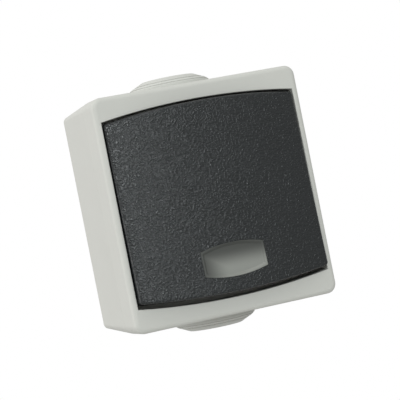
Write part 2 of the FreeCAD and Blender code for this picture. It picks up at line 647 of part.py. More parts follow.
def draw_margin_hollow(sketch, sign):
    """The hollow behind the cover's margin: arched beside the opening, straight beside the outer wall."""
    half_width = value("cover_width / 2 - wall_thickness")
    arch_corner = "(opening_corner_height / 2 + opening_wall)"
    outer = "(cover_height / 2 - wall_thickness)"
    factor = -1 if sign else 1
    inner_corner = value(arch_corner) * factor
    crown = value("%s + arch_rise" % arch_corner) * factor
    edge = value(outer) * factor
    points = [Vector(-half_width, inner_corner, 0), Vector(0, crown, 0), Vector(half_width, inner_corner, 0)]
    arc = sketch.addGeometry(Part.Arc(*points))
    corners = [points[2], Vector(half_width, edge, 0), Vector(-half_width, edge, 0), points[0]]
    lines = [sketch.addGeometry(Part.LineSegment(corners[i], corners[i + 1])) for i in range(3)]
    start, end = (1, 2) if (sketch.getPoint(arc, 1) - points[0]).Length < 1e-6 else (2, 1)
    sketch.addConstraint(Sketcher.Constraint("Coincident", arc, end, lines[0], 1))
    sketch.addConstraint(Sketcher.Constraint("Coincident", lines[0], 2, lines[1], 1))
    sketch.addConstraint(Sketcher.Constraint("Coincident", lines[1], 2, lines[2], 1))
    sketch.addConstraint(Sketcher.Constraint("Coincident", lines[2], 2, arc, start))
    width = "(cover_width - 2 * wall_thickness)"
    place_point(sketch, lines[0], 1, width + " / 2", sign + arch_corner)
    place_point(sketch, lines[1], 1, width + " / 2", sign + outer)
    place_point(sketch, lines[1], 2, "-" + width + " / 2", sign + outer)
    place_point(sketch, lines[2], 2, "-" + width + " / 2", sign + arch_corner)
    radius = arch_radius(width, "arch_rise")
    hold(sketch, Sketcher.Constraint("Radius", arc, value(radius)), radius)


def make_front_cover():
    body = new_body("front_cover")
    block = slab(body, "cover_block",
                 lambda sketch: draw_rounded_rectangle(sketch, "cover_width", "cover_height", "corner_radius"),
                 "housing_depth", front_depth)
    rounded = dress(body, "Fillet", "front_edge", block, lambda edge: at_depth(edge, value(front_depth)),
                    "front_edge_radius")
    parting = value("housing_depth")
    dress(body, "Chamfer", "parting_edge", rounded, lambda edge: at_depth(edge, parting), "parting_bevel")
    opening = cut(body, "rocker_opening",
                  lambda sketch: draw_barrel(sketch, "opening_width", "opening_corner_height", "arch_rise"),
                  deck_front, front_depth)
    reach = value("opening_width / 2") + nearby
    dress(body, "Fillet", "opening_edge", opening,
          lambda edge: at_depth(edge, value(front_depth)) and all(
              abs(p.x) < reach and abs(p.z) < value("opening_corner_height / 2 + arch_rise") + nearby
              for p in points_of(edge)),
          "opening_edge_radius")
    for name, sign in (("top", ""), ("bottom", "-")):
        hollow = new_sketch(body, name + "_hollow_outline", "XZ_Plane", "housing_depth")
        draw_margin_hollow(hollow, sign)
        pocket(body, name + "_hollow", hollow, "cover_depth - front_wall", reverse=True)
    cut(body, "mechanism_window",
        lambda sketch: draw_rounded_rectangle(sketch, "(tower_width + 2 * window_play)",
                                              "(tower_top + tower_bottom + 2 * window_play)",
                                              "(tower_radius + window_play)",
                                              "((tower_top - tower_bottom) / 2)"),
        "housing_depth", deck_front)

    # Tongue that presses on the gasket inside the housing's rim.
    outer = "(rim_thickness + part_clearance)"
    inner = "(%s + tongue_width)" % outer

    def draw_tongue(sketch):
        draw_rounded_rectangle(sketch, "(cover_width - 2 * %s)" % outer, "(cover_height - 2 * %s)" % outer,
                               "(corner_radius - %s)" % outer)
        draw_rounded_rectangle(sketch, "(cover_width - 2 * %s)" % inner, "(cover_height - 2 * %s)" % inner,
                               "(corner_radius - %s)" % inner)

    slab(body, "gasket_tongue", draw_tongue, "housing_depth - rebate_depth + gasket_thickness", "housing_depth")
    last = None
    for index, (across, up) in enumerate(four_corners("cover_boss_across", "cover_boss_up")):
        last = cut(body, "cover_screw_hole_%d" % index,
                   lambda sketch: draw_circle(sketch, across, up, "cover_screw_hole"),
                   "housing_depth", deck_front)
    rim = value("cover_screw_hole")
    dress(body, "Chamfer", "countersinks", last,
          lambda edge: at_depth(edge, value(deck_front)) and abs(getattr(edge.Curve, "Radius", 0) - rim) < 1e-6,
          "cover_screw_head - cover_screw_hole")
    return body


def make_screw(name, profile_corners, head_radius, head_front):
    """One screw about the depth axis through the origin, with a slot in its head."""
    body = new_body(name)
    sketch = new_sketch(body, name + "_profile", "XY_Plane", "0")
    draw_polygon(sketch, profile_corners)
    revolve(body, name + "_turned", sketch)
    cut(body, name + "_slot",
        lambda sketch: draw_rectangle(sketch, "-" + head_radius, "-slot_width / 2",
                                      head_radius, "slot_width / 2"),
        "%s - slot_depth" % head_front, head_front)
    return body


def copies(label, pattern, places):
    """Separate copies of one solid at several places across the front, as one node."""
    document.recompute()
    solids = []
    for across, up in places:
        solid = pattern.Shape.copy()
        solid.translate(Vector(value(across), 0, value(up)))
        solids.append(solid)
    group = document.addObject("Part::Feature", label)
    group.Label = label
    group.Shape = Part.makeCompound(solids)
    return group


def screw_corners(head_radius, head_front, seat, shank_radius, end, countersunk=False):
    """Half profile of a screw in the XY plane: across is the radius, up is minus the depth."""
    tip = "(%s + %s)" % (end, shank_radius)
    head_side = [] if countersunk else [(head_radius, "-(%s)" % seat)]
    return [("0", "-(%s)" % head_front), (head_radius, "-(%s)" % head_front)] + head_side + [
        (shank_radius, "-(%s)" % seat),
        (shank_radius, "-(%s)" % tip),
        (shank_radius + " / 2", "-(%s)" % end),
        ("0", "-(%s)" % end),
    ]


def make_cover_screws():
    play = "part_clearance"
    head_front = deck_front
    seat = "(%s - (cover_screw_head - core_radius) + %s)" % (deck_front, play)
    head_radius = "(cover_screw_head - 2 * %s)" % play
    corners = screw_corners(head_radius, head_front, seat, "core_radius", "(housing_depth - core_length)",
                            countersunk=True)
    pattern = make_screw("cover_screw_pattern", corners, head_radius, head_front)
    return copies("cover_screws", pattern, four_corners("cover_boss_across", "cover_boss_up"))


def make_mounting_plate():
    body = new_body("mounting_plate")
    ear_end = "(post_spacing / 2 + post_radius)"
    half_width = "(plate_width / 2)"
    half_height = "(plate_height / 2)"
    half_ear = "(plate_ear_width / 2)"
    outline = [
        (ear_end, "-" + half_ear), (ear_end, half_ear), (half_width, half_ear), (half_width, half_height),
        ("-" + half_width, half_height), ("-" + half_width, half_ear), ("-" + ear_end, half_ear),
        ("-" + ear_end, "-" + half_ear), ("-" + half_width, "-" + half_ear),
        ("-" + half_width, "-" + half_height),
        (half_width, "-" + half_height), (half_width, "-" + half_ear),
    ]

    def draw(sketch):
        draw_polygon(sketch, outline)
        for side in ("", "-"):
            draw_circle(sketch, side + "post_spacing / 2", "0", "core_radius + screw_hole_play")
        for across, up in four_corners("rivet_across", "rivet_up"):
            draw_circle(sketch, across, up, "rivet_radius + part_clearance")
        for across, up in terminal_places:
            draw_circle(sketch, across, up, "terminal_access_radius")
        draw_rectangle(sketch, "-slot_half_width", "-slot_half_height", "slot_half_width", "slot_half_height")

    plate = slab(body, "plate", draw, "plate_depth", "plate_depth + plate_thickness")
    dress(body, "Fillet", "plate_corners", plate,
          lambda edge: along_depth(edge) and abs(abs(points_of(edge)[0].z) - value(half_height)) < 1e-6,
          "plate_corner")
    return body


def make_plate_screws():
    seat = "(plate_depth + plate_thickness)"
    head_front = "(%s + plate_screw_rise)" % seat
    corners = screw_corners("plate_screw_head", head_front, seat, "core_radius", "(plate_depth - core_length)")
    pattern = make_screw("plate_screw_pattern", corners, "plate_screw_head", head_front)
    return copies("plate_screws", pattern, [("post_spacing / 2", "0"), ("-post_spacing / 2", "0")])


def make_mechanism_base():
    body = new_body("mechanism_base")
    rear = "(plate_depth - base_depth)"
    block = slab(body, "base_block",
                 lambda sketch: draw_rounded_rectangle(sketch, "base_width", "base_height", "tower_radius"),
                 rear, "plate_depth")
    dress(body, "Chamfer", "base_rear_edge", block, lambda edge: at_depth(edge, value(rear)), "base_bevel")
    cut(body, "contact_chamber",
        lambda sketch: draw_rounded_rectangle(sketch, "chamber_width", "chamber_height", "tower_radius / 2"),
        chamber_floor, "plate_depth")
    for index, (across, up) in enumerate(four_corners("rivet_across", "rivet_up")):
        cut(body, "rivet_hole_%d" % index,
            lambda sketch: draw_circle(sketch, across, up, "rivet_radius + part_clearance"),
            rear, "plate_depth")
    wire_depth = "(%s + wire_rise)" % strip_front
    for index, (across, up) in enumerate(terminal_places):
        sign = "-" if up.startswith("-") else ""
        entry = new_sketch(body, "wire_entry_%d_outline" % index, "XY_Plane", sign + "(base_height / 2)")
        draw_circle(entry, across, "-" + wire_depth, "wire_entry_radius")
        pocket(body, "wire_entry_%d" % index, entry, "(base_height - chamber_height) / 2", reverse=bool(sign))
    return body


def make_mechanism_cover():
    body = new_body("mechanism_cover")
    flange_rear = "(plate_depth + plate_thickness)"
    middle = "((tower_top - tower_bottom) / 2)"
    slab(body, "flange",
         lambda sketch: draw_rounded_rectangle(sketch, "base_width", "(tower_top + tower_bottom)",
                                               "tower_radius", middle),
         flange_rear, flange_front)
    tower = slab(body, "tower",
                 lambda sketch: draw_rounded_rectangle(sketch, "tower_width", "(tower_top + tower_bottom)",
                                                       "tower_radius", middle),
                 flange_front, tower_front)
    dress(body, "Fillet", "tower_edge", tower, lambda edge: at_depth(edge, value(tower_front)),
          "tower_edge_radius")

    # Bearing ears: straight sides that end in a half round about the pivot.
    for name, side, reverse in (("right", "", False), ("left", "-", True)):
        sketch = new_sketch(body, name + "_ear_outline", "YZ_Plane", side + ear_inner)
        draw_ear(sketch, "ear_radius", "(%s - ear_root)" % tower_front)
        pad(body, name + "_ear", sketch, "ear_thickness", reverse=reverse)
    bore = new_sketch(body, "pivot_bore_outline", "YZ_Plane", "0")
    draw_circle(bore, "-pivot_depth", "0", "pin_radius + part_clearance")
    through_cut(body, "pivot_bore", bore)
    cut(body, "stem_slot",
        lambda sketch: draw_rectangle(sketch, "-slot_half_width", "-slot_half_height", "slot_half_width",
                                      "slot_half_height"),
        flange_rear, tower_front)
    for index, (across, up) in enumerate(terminal_places):
        cut(body, "terminal_access_%d" % index,
            lambda sketch: draw_circle(sketch, across, up, "terminal_access_radius"),
            flange_rear, tower_front)
    cut(body, "lamp_socket",
        lambda sketch: draw_circle(sketch, "0", "-lens_drop", "lamp_radius + part_clearance"),
        "%s - lamp_socket_depth" % tower_front, tower_front)
    for index, (across, up) in enumerate(four_corners("rivet_across", "rivet_up")):
        cut(body, "rivet_hole_%d" % index,
            lambda sketch: draw_circle(sketch, across, up, "rivet_radius + part_clearance"),
            flange_rear, flange_front)
    return body


def draw_ear(sketch, radius, foot_depth):
    """A tab seen from the side, from foot_depth out to a half round about the pivot axis."""
    pivot = value("pivot_depth")
    foot = value(foot_depth)
    r = value(radius)
    out = -1 if foot < pivot else 1
    round_end = Part.Arc(Vector(-pivot, r, 0), Vector(-pivot + out * r, 0, 0), Vector(-pivot, -r, 0))
    arc = sketch.addGeometry(round_end)
    upper, lower = (1, 2) if sketch.getPoint(arc, 1).y > 0 else (2, 1)
    corners = [Vector(-pivot, -r, 0), Vector(-foot, -r, 0), Vector(-foot, r, 0), Vector(-pivot, r, 0)]
    lines = [sketch.addGeometry(Part.LineSegment(corners[i], corners[i + 1])) for i in range(3)]
    sketch.addConstraint(Sketcher.Constraint("Coincident", arc, lower, lines[0], 1))
    sketch.addConstraint(Sketcher.Constraint("Coincident", lines[0], 2, lines[1], 1))
    sketch.addConstraint(Sketcher.Constraint("Coincident", lines[1], 2, lines[2], 1))
    sketch.addConstraint(Sketcher.Constraint("Coincident", lines[2], 2, arc, upper))
    place_point(sketch, lines[0], 1, "-pivot_depth", "-%s" % radius)
    place_point(sketch, lines[1], 1, "-" + foot_depth, "-%s" % radius)
    place_point(sketch, lines[1], 2, "-" + foot_depth, radius)
    place_point(sketch, lines[2], 2, "-pivot_depth", radius)
    hold(sketch, Sketcher.Constraint("DistanceX", -1, 1, arc, 3, -pivot), "-pivot_depth")


def make_mechanism_rivets():
    shank_rear = "(plate_depth - base_depth)"
    head_front = "(%s + rivet_head_rise)" % flange_front
    tail = "(%s - rivet_head_rise)" % shank_rear
    body = new_body("rivet_pattern")
    sketch = new_sketch(body, "rivet_profile", "XY_Plane", "0")
    draw_polygon(sketch, [
        ("0", "-" + head_front), ("rivet_head_radius", "-" + head_front),
        ("rivet_head_radius", "-" + flange_front), ("rivet_radius", "-" + flange_front),
        ("rivet_radius", "-" + shank_rear), ("rivet_head_radius", "-" + shank_rear),
        ("rivet_head_radius", "-" + tail), ("0", "-" + tail),
    ])
    revolve(body, "rivet_turned", sketch)
    return copies("mechanism_rivets", body, four_corners("rivet_across", "rivet_up"))


def make_mechanism_seal():
    body = new_body("mechanism_seal")
    middle = "((tower_top - tower_bottom) / 2)"

    def draw(sketch):
        play = "part_clearance"
        grown = "(%s + seal_width)" % play
        for margin in (grown, play):
            draw_rounded_rectangle(sketch, "(tower_width + 2 * %s)" % margin,
                                   "(tower_top + tower_bottom + 2 * %s)" % margin,
                                   "(tower_radius + %s)" % margin, middle)

    slab(body, "seal_ring", draw, flange_front, "housing_depth")
    return body


def make_common_strip():
    body = new_body("common_strip")
    half_strip = "(strip_width / 2)"
    right = "(terminal_across + %s)" % half_strip
    inner = "(terminal_across - %s)" % half_strip
    end = "(chamber_height / 2)"
    slab(body, "strip",
         lambda sketch: draw_polygon(sketch, [
             ("-knife_half_width", "-arm_half_width"), (inner, "-arm_half_width"), (inner, "-" + end),
             (right, "-" + end), (right, "arm_half_width"), ("-knife_half_width", "arm_half_width")]),
         chamber_floor, strip_front)
    post = slab(body, "knife_post",
                lambda sketch: draw_rectangle(sketch, "-knife_half_width", "-knife_half_thickness",
                                              "knife_half_width", "knife_half_thickness"),
                strip_front, "contact_pivot_depth - part_clearance")
    top = value("contact_pivot_depth - part_clearance")
    dress(body, "Chamfer", "knife_edge", post,
          lambda edge: at_depth(edge, top) and abs(points_of(edge)[0].z - points_of(edge)[-1].z) < 1e-6,
          "knife_bevel")
    return body


def make_contact_strip(label, outline, sign):
    """A conductor strip on the chamber's floor with an upstand and a fixed contact facing the blade."""
    body = new_body(label)
    upstand_front = "(%s - fixed_contact_rise)" % contact_face
    slab(body, "strip", lambda sketch: draw_polygon(sketch, outline), chamber_floor, strip_front)
    slab(body, "upstand",
         lambda sketch: draw_rectangle(sketch, "-pad_half_width", sign + "tip_arm - pad_half_width",
                                       "pad_half_width", sign + "tip_arm + pad_half_width"),
         strip_front, upstand_front)
    slab(body, "fixed_contact", lambda sketch: draw_circle(sketch, "0", sign + "tip_arm", "tip_radius"),
         upstand_front, contact_face)
    return body


def make_contact_strips():
    half = "(strip_width / 2)"
    end = "(chamber_height / 2)"
    near = "tip_arm - pad_half_width"
    far = "tip_arm + pad_half_width"
    upper = [("-" + half, near), (half, near), (half, end), ("-" + half, end)]
    outer = "(terminal_across + %s)" % half
    inner = "(terminal_across - %s)" % half
    lower = [
        ("pad_half_width", "-(%s)" % near), ("-" + outer, "-(%s)" % near), ("-" + outer, "-" + end),
        ("-" + inner, "-" + end), ("-" + inner, "-(%s)" % far), ("pad_half_width", "-(%s)" % far),
    ]
    return [
        make_contact_strip("upper_contact_strip", upper, ""),
        make_contact_strip("lower_contact_strip", lower, "-"),
    ]


def make_terminal_clamps():
    body = new_body("clamp_pattern")
    half = "(clamp_size / 2)"
    slab(body, "clamp_block", lambda sketch: draw_rectangle(sketch, "-" + half, "-" + half, half, half),
         strip_front, "%s + clamp_height" % strip_front)
    wire = new_sketch(body, "clamp_wire_outline", "XY_Plane", "0")
    draw_circle(wire, "0", "-(%s + wire_rise)" % strip_front, "wire_hole_radius")
    through_cut(body, "clamp_wire_hole", wire)
    cut(body, "clamp_core", lambda sketch: draw_circle(sketch, "0", "0", "core_radius + part_clearance"),
        "%s + wire_rise" % strip_front, "%s + clamp_height" % strip_front)
    return copies("terminal_clamps", body, terminal_places)


def make_terminal_screws():
    seat = "(%s + clamp_height)" % strip_front
    head_front = "(%s + terminal_head_rise)" % seat
    corners = screw_corners("terminal_head_radius", head_front, seat, "core_radius",
                            "(%s + wire_rise + wire_hole_radius)" % strip_front)
    pattern = make_screw("terminal_screw_pattern", corners, "terminal_head_radius", head_front)
    return copies("terminal_screws", pattern, terminal_places)


def make_indicator_lamp():
    body = new_body("indicator_lamp")
    foot = "(%s - lamp_socket_depth)" % tower_front
    tip = "(%s + lamp_length)" % foot
    sketch = new_sketch(body, "lamp_profile", "XY_Plane", "-lens_drop")
    draw_polygon(sketch, [
        ("0", "-" + foot), ("lamp_radius", "-" + foot), ("lamp_radius", "-(%s - lamp_bevel)" % tip),
        ("lamp_radius - lamp_bevel", "-" + tip), ("0", "-" + tip),
    ])
    revolve(body, "lamp_turned", sketch)
    return body


def rocker_placement():
    """From the level position to the photographed one: the lower edge swung out about the pivot."""
    return Placement(Vector(0, 0, 0), Rotation(Vector(1, 0, 0), -value("rest_tilt")),
                     Vector(0, -value("pivot_depth"), 0))


def crown_cut(body, name, drop):
    """Cuts the front to a cylinder about an upright axis, drop behind the rocker's own crowned face."""
    radius = "(%s - (%s))" % (crown_radius, drop)
    centre = "(%s - %s)" % (crown_radius, crown_depth)
    reach = "(%s / 2 + %s)" % (rocker_width, overcut)
    front = "-(%s + 2 * %s)" % (crown_depth, overcut)
    r = value(radius)
    edge = value(reach)
    level = value(centre) - math.sqrt(r ** 2 - edge ** 2)
    sketch = new_sketch(body, name + "_outline", "XY_Plane", "0")
    arc = sketch.addGeometry(Part.Arc(Vector(-edge, level, 0), Vector(0, value(centre) - r, 0),
                                      Vector(edge, level, 0)))
    left_end, right_end = (1, 2) if sketch.getPoint(arc, 1).x < 0 else (2, 1)
    corners = [Vector(edge, level, 0), Vector(edge, value(front), 0), Vector(-edge, value(front), 0),
               Vector(-edge, level, 0)]
    lines = [sketch.addGeometry(Part.LineSegment(corners[i], corners[i + 1])) for i in range(3)]
    sketch.addConstraint(Sketcher.Constraint("Coincident", arc, right_end, lines[0], 1))
    sketch.addConstraint(Sketcher.Constraint("Coincident", lines[0], 2, lines[1], 1))
    sketch.addConstraint(Sketcher.Constraint("Coincident", lines[1], 2, lines[2], 1))
    sketch.addConstraint(Sketcher.Constraint("Coincident", lines[2], 2, arc, left_end))
    sketch.addConstraint(Sketcher.Constraint("Vertical", lines[0]))
    sketch.addConstraint(Sketcher.Constraint("Vertical", lines[2]))
    place_point(sketch, lines[1], 1, reach, front)
    place_point(sketch, lines[1], 2, "-" + reach, front)
    place_point(sketch, arc, 3, "0", centre)
    hold(sketch, Sketcher.Constraint("Radius", arc, r), radius)
    return through_cut(body, name, sketch)


def on_crown(edge):
    """True for an edge that lies on the rocker's crowned face."""
    radius = value(crown_radius)
    centre = value("%s - %s" % (crown_radius, crown_depth))
    return all(abs(math.hypot(p.x, p.y - centre) - radius) < 1e-3 for p in points_of(edge))


def make_rocker_core():
    """The hollow of the rocker, one wall smaller all round and crowned as the rocker is."""
    body = new_body("rocker_core")
    slab(body, "core_block",
         lambda sketch: draw_barrel(sketch, "(%s - 2 * rocker_wall)" % rocker_width,
                                    "(rocker_corner_height - 2 * rocker_wall)", "rocker_rise"),
         "%s - %s" % (skirt_end, overcut), crown_depth)
    crown_cut(body, "core_face", "rocker_wall")
    return body


def make_rocker():
    body = new_body("rocker")
    slab(body, "cap_block",
         lambda sketch: draw_barrel(sketch, rocker_width, "rocker_corner_height", "rocker_rise"),
         skirt_end, "%s + %s" % (crown_depth, overcut))
    crowned = crown_cut(body, "crowned_face", "0")
    corners = dress(body, "Fillet", "cap_corners", crowned, along_depth, "rocker_corner_radius")
    dress(body, "Fillet", "cap_edge", corners, on_crown, "rocker_edge_radius")
    hollow = body.newObject("PartDesign::Boolean", "hollow")
    hollow.Type = "Cut"
    hollow.setObjects([make_rocker_core()])

    # Flat seat on the inside for the window, then the window itself with a bevelled edge.
    seat_width = "(lens_width + 2 * lens_flange + 2 * lens_seat_play)"
    cut(body, "window_seat",
        lambda sketch: draw_rectangle(sketch, "-%s / 2" % seat_width, "-lens_drop - window_seat_half_height",
                                      "%s / 2" % seat_width, "-lens_drop + window_seat_half_height"),
        "%s - rocker_wall" % lens_seat, lens_seat)
    window = cut(body, "window",
                 lambda sketch: draw_barrel(sketch, "lens_width", "lens_corner_height", "lens_rise",
                                            "(-lens_drop)"),
                 "%s - %s" % (lens_seat, overcut), "%s + %s" % (crown_depth, overcut))
    reach = value("lens_width / 2") + nearby
    dress(body, "Chamfer", "window_bevel", window,
          lambda edge: on_crown(edge) and all(abs(p.x) < reach for p in points_of(edge)), "lens_bevel")

    # Two upright ribs rest on the cradle, and four hooks clip behind its long edges.
    wall_root = "(%s - root_cover)" % crown_depth
    hook_inner = "(%s + 2 * part_clearance)" % cheek_outer
    hook_outer = "(%s + hook_thickness)" % hook_inner
    barb_inner = "(%s - hook_barb)" % hook_inner
    barb_front = "(%s - 2 * part_clearance)" % cradle_rear
    barb_rear = "(%s - hook_thickness)" % barb_front
    for side_name, side in (("right", ""), ("left", "-")):
        slab(body, side_name + "_rib",
             lambda sketch: draw_rectangle(sketch, side + "(rib_offset - rib_thickness / 2)",
                                           "-rib_half_length", side + "(rib_offset + rib_thickness / 2)",
                                           "rib_half_length"),
             "cradle_front", wall_root)
        for level_name, level in (("upper", ""), ("lower", "-")):
            low, high = level + "hook_offset", level + "(hook_offset + hook_width)"
            slab(body, "%s_%s_hook" % (level_name, side_name),
                 lambda sketch: draw_rectangle(sketch, side + hook_inner, low, side + hook_outer, high),
                 barb_rear, wall_root)
            slab(body, "%s_%s_barb" % (level_name, side_name),
                 lambda sketch: draw_rectangle(sketch, side + barb_inner, low, side + hook_inner, high),
                 barb_rear, barb_front)
    body.Placement = rocker_placement()
    return body


def make_indicator_lens():
    body = new_body("indicator_lens")
    play = "part_clearance"
    slab(body, "window_block",
         lambda sketch: draw_barrel(sketch, "(lens_width - 2 * %s)" % play,
                                    "(lens_corner_height - 2 * %s)" % play, "lens_rise", "(-lens_drop)"),
         lens_seat, "%s + %s" % (crown_depth, overcut))
    crown_cut(body, "window_face", "lens_recess")
    floor = "(%s - lens_recess - dish_depth)" % crown_depth
    inset = "(%s + dish_rim + dish_depth * tan(dish_slope))" % play
    dish = new_sketch(body, "window_dish_outline", "XZ_Plane", floor)
    draw_barrel(dish, "(lens_width - 2 * %s)" % inset, "(lens_corner_height - 2 * %s)" % inset, "lens_rise",
                "(-lens_drop)")
    pocket(body, "window_dish", dish, "dish_depth + lens_recess + %s" % overcut, reverse=True,
           draft="dish_slope")
    slab(body, "window_flange",
         lambda sketch: draw_barrel(sketch, "(lens_width + 2 * lens_flange)",
                                    "(lens_corner_height + 2 * lens_flange)", "lens_rise", "(-lens_drop)"),
         "%s - lens_flange" % lens_seat, lens_seat)
    body.Placement = rocker_placement()
    return body


def make_rocker_cradle():
    body = new_body("rocker_cradle")
    half_width = cheek_outer
    slab(body, "cradle_plate",
         lambda sketch: draw_rounded_rectangle(sketch, "(2 * %s)" % half_width, "cradle_height",
                                               "cradle_corner"),
         cradle_rear, "cradle_front")
    for name, side, reverse in (("right", "", False), ("left", "-", True)):
        cheek = new_sketch(body, name + "_cheek_outline", "YZ_Plane", side + cheek_inner)
        draw_ear(cheek, "cheek_radius", "(%s + cradle_thickness / 2)" % cradle_rear)
        pad(body, name + "_cheek", cheek, "cheek_thickness", reverse=reverse)
        pin = new_sketch(body, name + "_pin_outline", "YZ_Plane", side + cheek_inner)
        draw_circle(pin, "-pivot_depth", "0", "pin_radius")
        pad(body, name + "_pin", pin, "tower_width / 2 - %s" % cheek_inner, reverse=reverse)
    slab(body, "stem", lambda sketch: draw_circle(sketch, "0", "0", "stem_radius"), "stem_end",
         "%s + cradle_thickness / 2" % cradle_rear)
    cut(body, "stem_bore", lambda sketch: draw_circle(sketch, "0", "0", "plunger_radius + bore_play"),
        "stem_end", bore_end)
    body.Placement = rocker_placement()
    return body


def make_spring_plunger():
    body = new_body("spring_plunger")
    sketch = new_sketch(body, "plunger_profile", "XY_Plane", "0")
    draw_polygon(sketch, [
        ("0", "-" + plunger_top), ("plunger_radius", "-" + plunger_top),
        ("plunger_radius", "-(%s + plunger_taper)" % plunger_tip),
        ("plunger_shoulder_radius", "-(%s + plunger_tip_bevel)" % plunger_tip),
        ("plunger_tip_radius", "-" + plunger_tip), ("0", "-" + plunger_tip),
    ])
    revolve(body, "plunger_turned", sketch)
    body.Placement = rocker_placement()
    return body


def make_plunger_spring():
    body = new_body("plunger_spring")
    sketch = new_sketch(body, "wire_section", "XY_Plane", "0")
    start = "(%s + spring_wire)" % plunger_top
    draw_circle(sketch, "spring_radius", "-" + start, "spring_wire")
    coil = new_feature(body, "AdditiveHelix", "coil", sketch)
    coil.ReferenceAxis = (sketch, ["V_Axis"])
    coil.Mode = "height-turns-angle"
    coil.Reversed = True
    coil.setExpression("Height", tie("%s - %s - 2 * spring_wire" % (bore_end, plunger_top)))
    coil.setExpression("Turns", tie("spring_turns"))
    body.Placement = rocker_placement()
    return body


def make_moving_contact():
    body = new_body("moving_contact")
    blade_front = "(contact_pivot_depth + blade_thickness)"
    slab(body, "blade",
         lambda sketch: draw_rounded_rectangle(sketch, "blade_width", "blade_length", "blade_corner"),
         "contact_pivot_depth", blade_front)
    for name, sign in (("upper", ""), ("lower", "-")):
        slab(body, name + "_tip", lambda sketch: draw_circle(sketch, "0", sign + "tip_arm", "tip_radius"),
             "contact_pivot_depth - tip_thickness", "contact_pivot_depth")
    groove = new_sketch(body, "blade_groove_outline", "YZ_Plane", "0")
    draw_circle(groove, "-contact_pivot_depth", "0", "blade_groove")
    through_cut(body, "blade_groove", groove)
    body.Placement = Placement(Vector(0, 0, 0), Rotation(Vector(1, 0, 0), value("contact_tilt")),
                               Vector(0, -value("contact_pivot_depth"), 0))
    return body


pieces = [
    make_rear_housing(),
    make_gland("top_cable_gland", 0),
    make_gland("bottom_cable_gland", 180),
    make_housing_gasket(),
    make_front_cover(),
    make_cover_screws(),
    make_mounting_plate(),
    make_plate_screws(),
    make_mechanism_base(),
    make_mechanism_cover(),
    make_mechanism_rivets(),
    make_mechanism_seal(),
    make_common_strip(),
    make_terminal_clamps(),
    make_terminal_screws(),
    make_indicator_lamp(),
    make_rocker(),
    make_indicator_lens(),
    make_rocker_cradle(),
    make_spring_plunger(),
    make_plunger_spring(),
    make_moving_contact(),
] + make_contact_strips()

document.recompute()
failed = [thing.Name for thing in document.Objects if {"Invalid", "Error"} & set(thing.State)]
failed += [piece.Label for piece in pieces if piece.Shape.isNull() or not piece.Shape.isValid()]
if failed:
    raise RuntimeError("these objects failed: " + ", ".join(failed))

os.makedirs("parts", exist_ok=True)
for piece in pieces:
    piece.Shape.exportStep(os.path.join("parts", piece.Label + ".step"))
    print(piece.Label, len(piece.Shape.Solids), round(piece.Shape.Volume, 2))
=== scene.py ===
import json
import math

import bpy
from mathutils import Matrix, Vector

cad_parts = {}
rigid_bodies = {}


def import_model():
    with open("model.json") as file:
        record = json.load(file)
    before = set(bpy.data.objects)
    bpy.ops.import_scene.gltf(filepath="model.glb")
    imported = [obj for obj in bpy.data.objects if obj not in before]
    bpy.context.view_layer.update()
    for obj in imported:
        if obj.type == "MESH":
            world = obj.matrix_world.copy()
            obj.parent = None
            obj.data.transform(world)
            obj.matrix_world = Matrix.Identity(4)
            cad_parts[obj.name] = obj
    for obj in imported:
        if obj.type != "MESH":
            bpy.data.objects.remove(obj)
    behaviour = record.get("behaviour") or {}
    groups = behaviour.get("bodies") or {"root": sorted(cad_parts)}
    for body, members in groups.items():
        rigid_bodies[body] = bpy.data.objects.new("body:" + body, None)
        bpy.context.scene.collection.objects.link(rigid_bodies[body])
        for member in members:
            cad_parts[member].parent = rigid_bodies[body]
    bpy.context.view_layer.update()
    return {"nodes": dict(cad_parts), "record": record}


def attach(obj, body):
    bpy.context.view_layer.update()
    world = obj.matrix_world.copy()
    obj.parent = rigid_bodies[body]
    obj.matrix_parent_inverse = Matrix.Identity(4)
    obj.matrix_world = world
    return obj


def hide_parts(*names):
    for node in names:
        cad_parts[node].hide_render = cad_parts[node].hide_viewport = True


# Outdoor weatherproof switch. Metres, in the frame of the CAD: +X right seen from the front,
# +Y into the wall, +Z up. A depth is a distance in front of the wall, so a point at depth d
# has y = -d.

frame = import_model()
mm = 0.001
slack = 0.01 * mm         # for points that lie on a straight limit
curveSlack = 0.06 * mm    # for points that lie on an arc


# The photograph's camera, with its angles in degrees.
cameraSettings = {
    "lens": 154.72,
    "sensorWidth": 36,
    "clip": (0.05, 20),
    "place": (-0.175965, -0.559607, -0.000877),
    "yaw": 18.289,
    "pitch": 0.110,
    "roll": -11.258,
}


def makeCamera(settings):
    yaw, pitch, roll = (math.radians(settings[name]) for name in ("yaw", "pitch", "roll"))
    ahead = Vector((math.sin(yaw), math.cos(yaw), 0))
    right = Vector((math.cos(yaw), -math.sin(yaw), 0))
    up = Vector((0, 0, 1))
    aheadTilted = math.cos(pitch) * ahead + math.sin(pitch) * up
    upTilted = math.cos(pitch) * up - math.sin(pitch) * ahead
    rightRolled = math.cos(roll) * right + math.sin(roll) * upTilted
    upRolled = math.cos(roll) * upTilted - math.sin(roll) * right
    camera = bpy.data.cameras.new("camera")
    camera.lens = settings["lens"]
    camera.sensor_width = settings["sensorWidth"]
    camera.clip_start, camera.clip_end = settings["clip"]
    cameraObject = bpy.data.objects.new("camera", camera)
    turned = Matrix((rightRolled, upRolled, -aheadTilted)).transposed().to_4x4()
    cameraObject.matrix_world = Matrix.Translation(settings["place"]) @ turned
    bpy.context.scene.collection.objects.link(cameraObject)
    bpy.context.scene.camera = cameraObject


makeCamera(cameraSettings)
print("camera made")


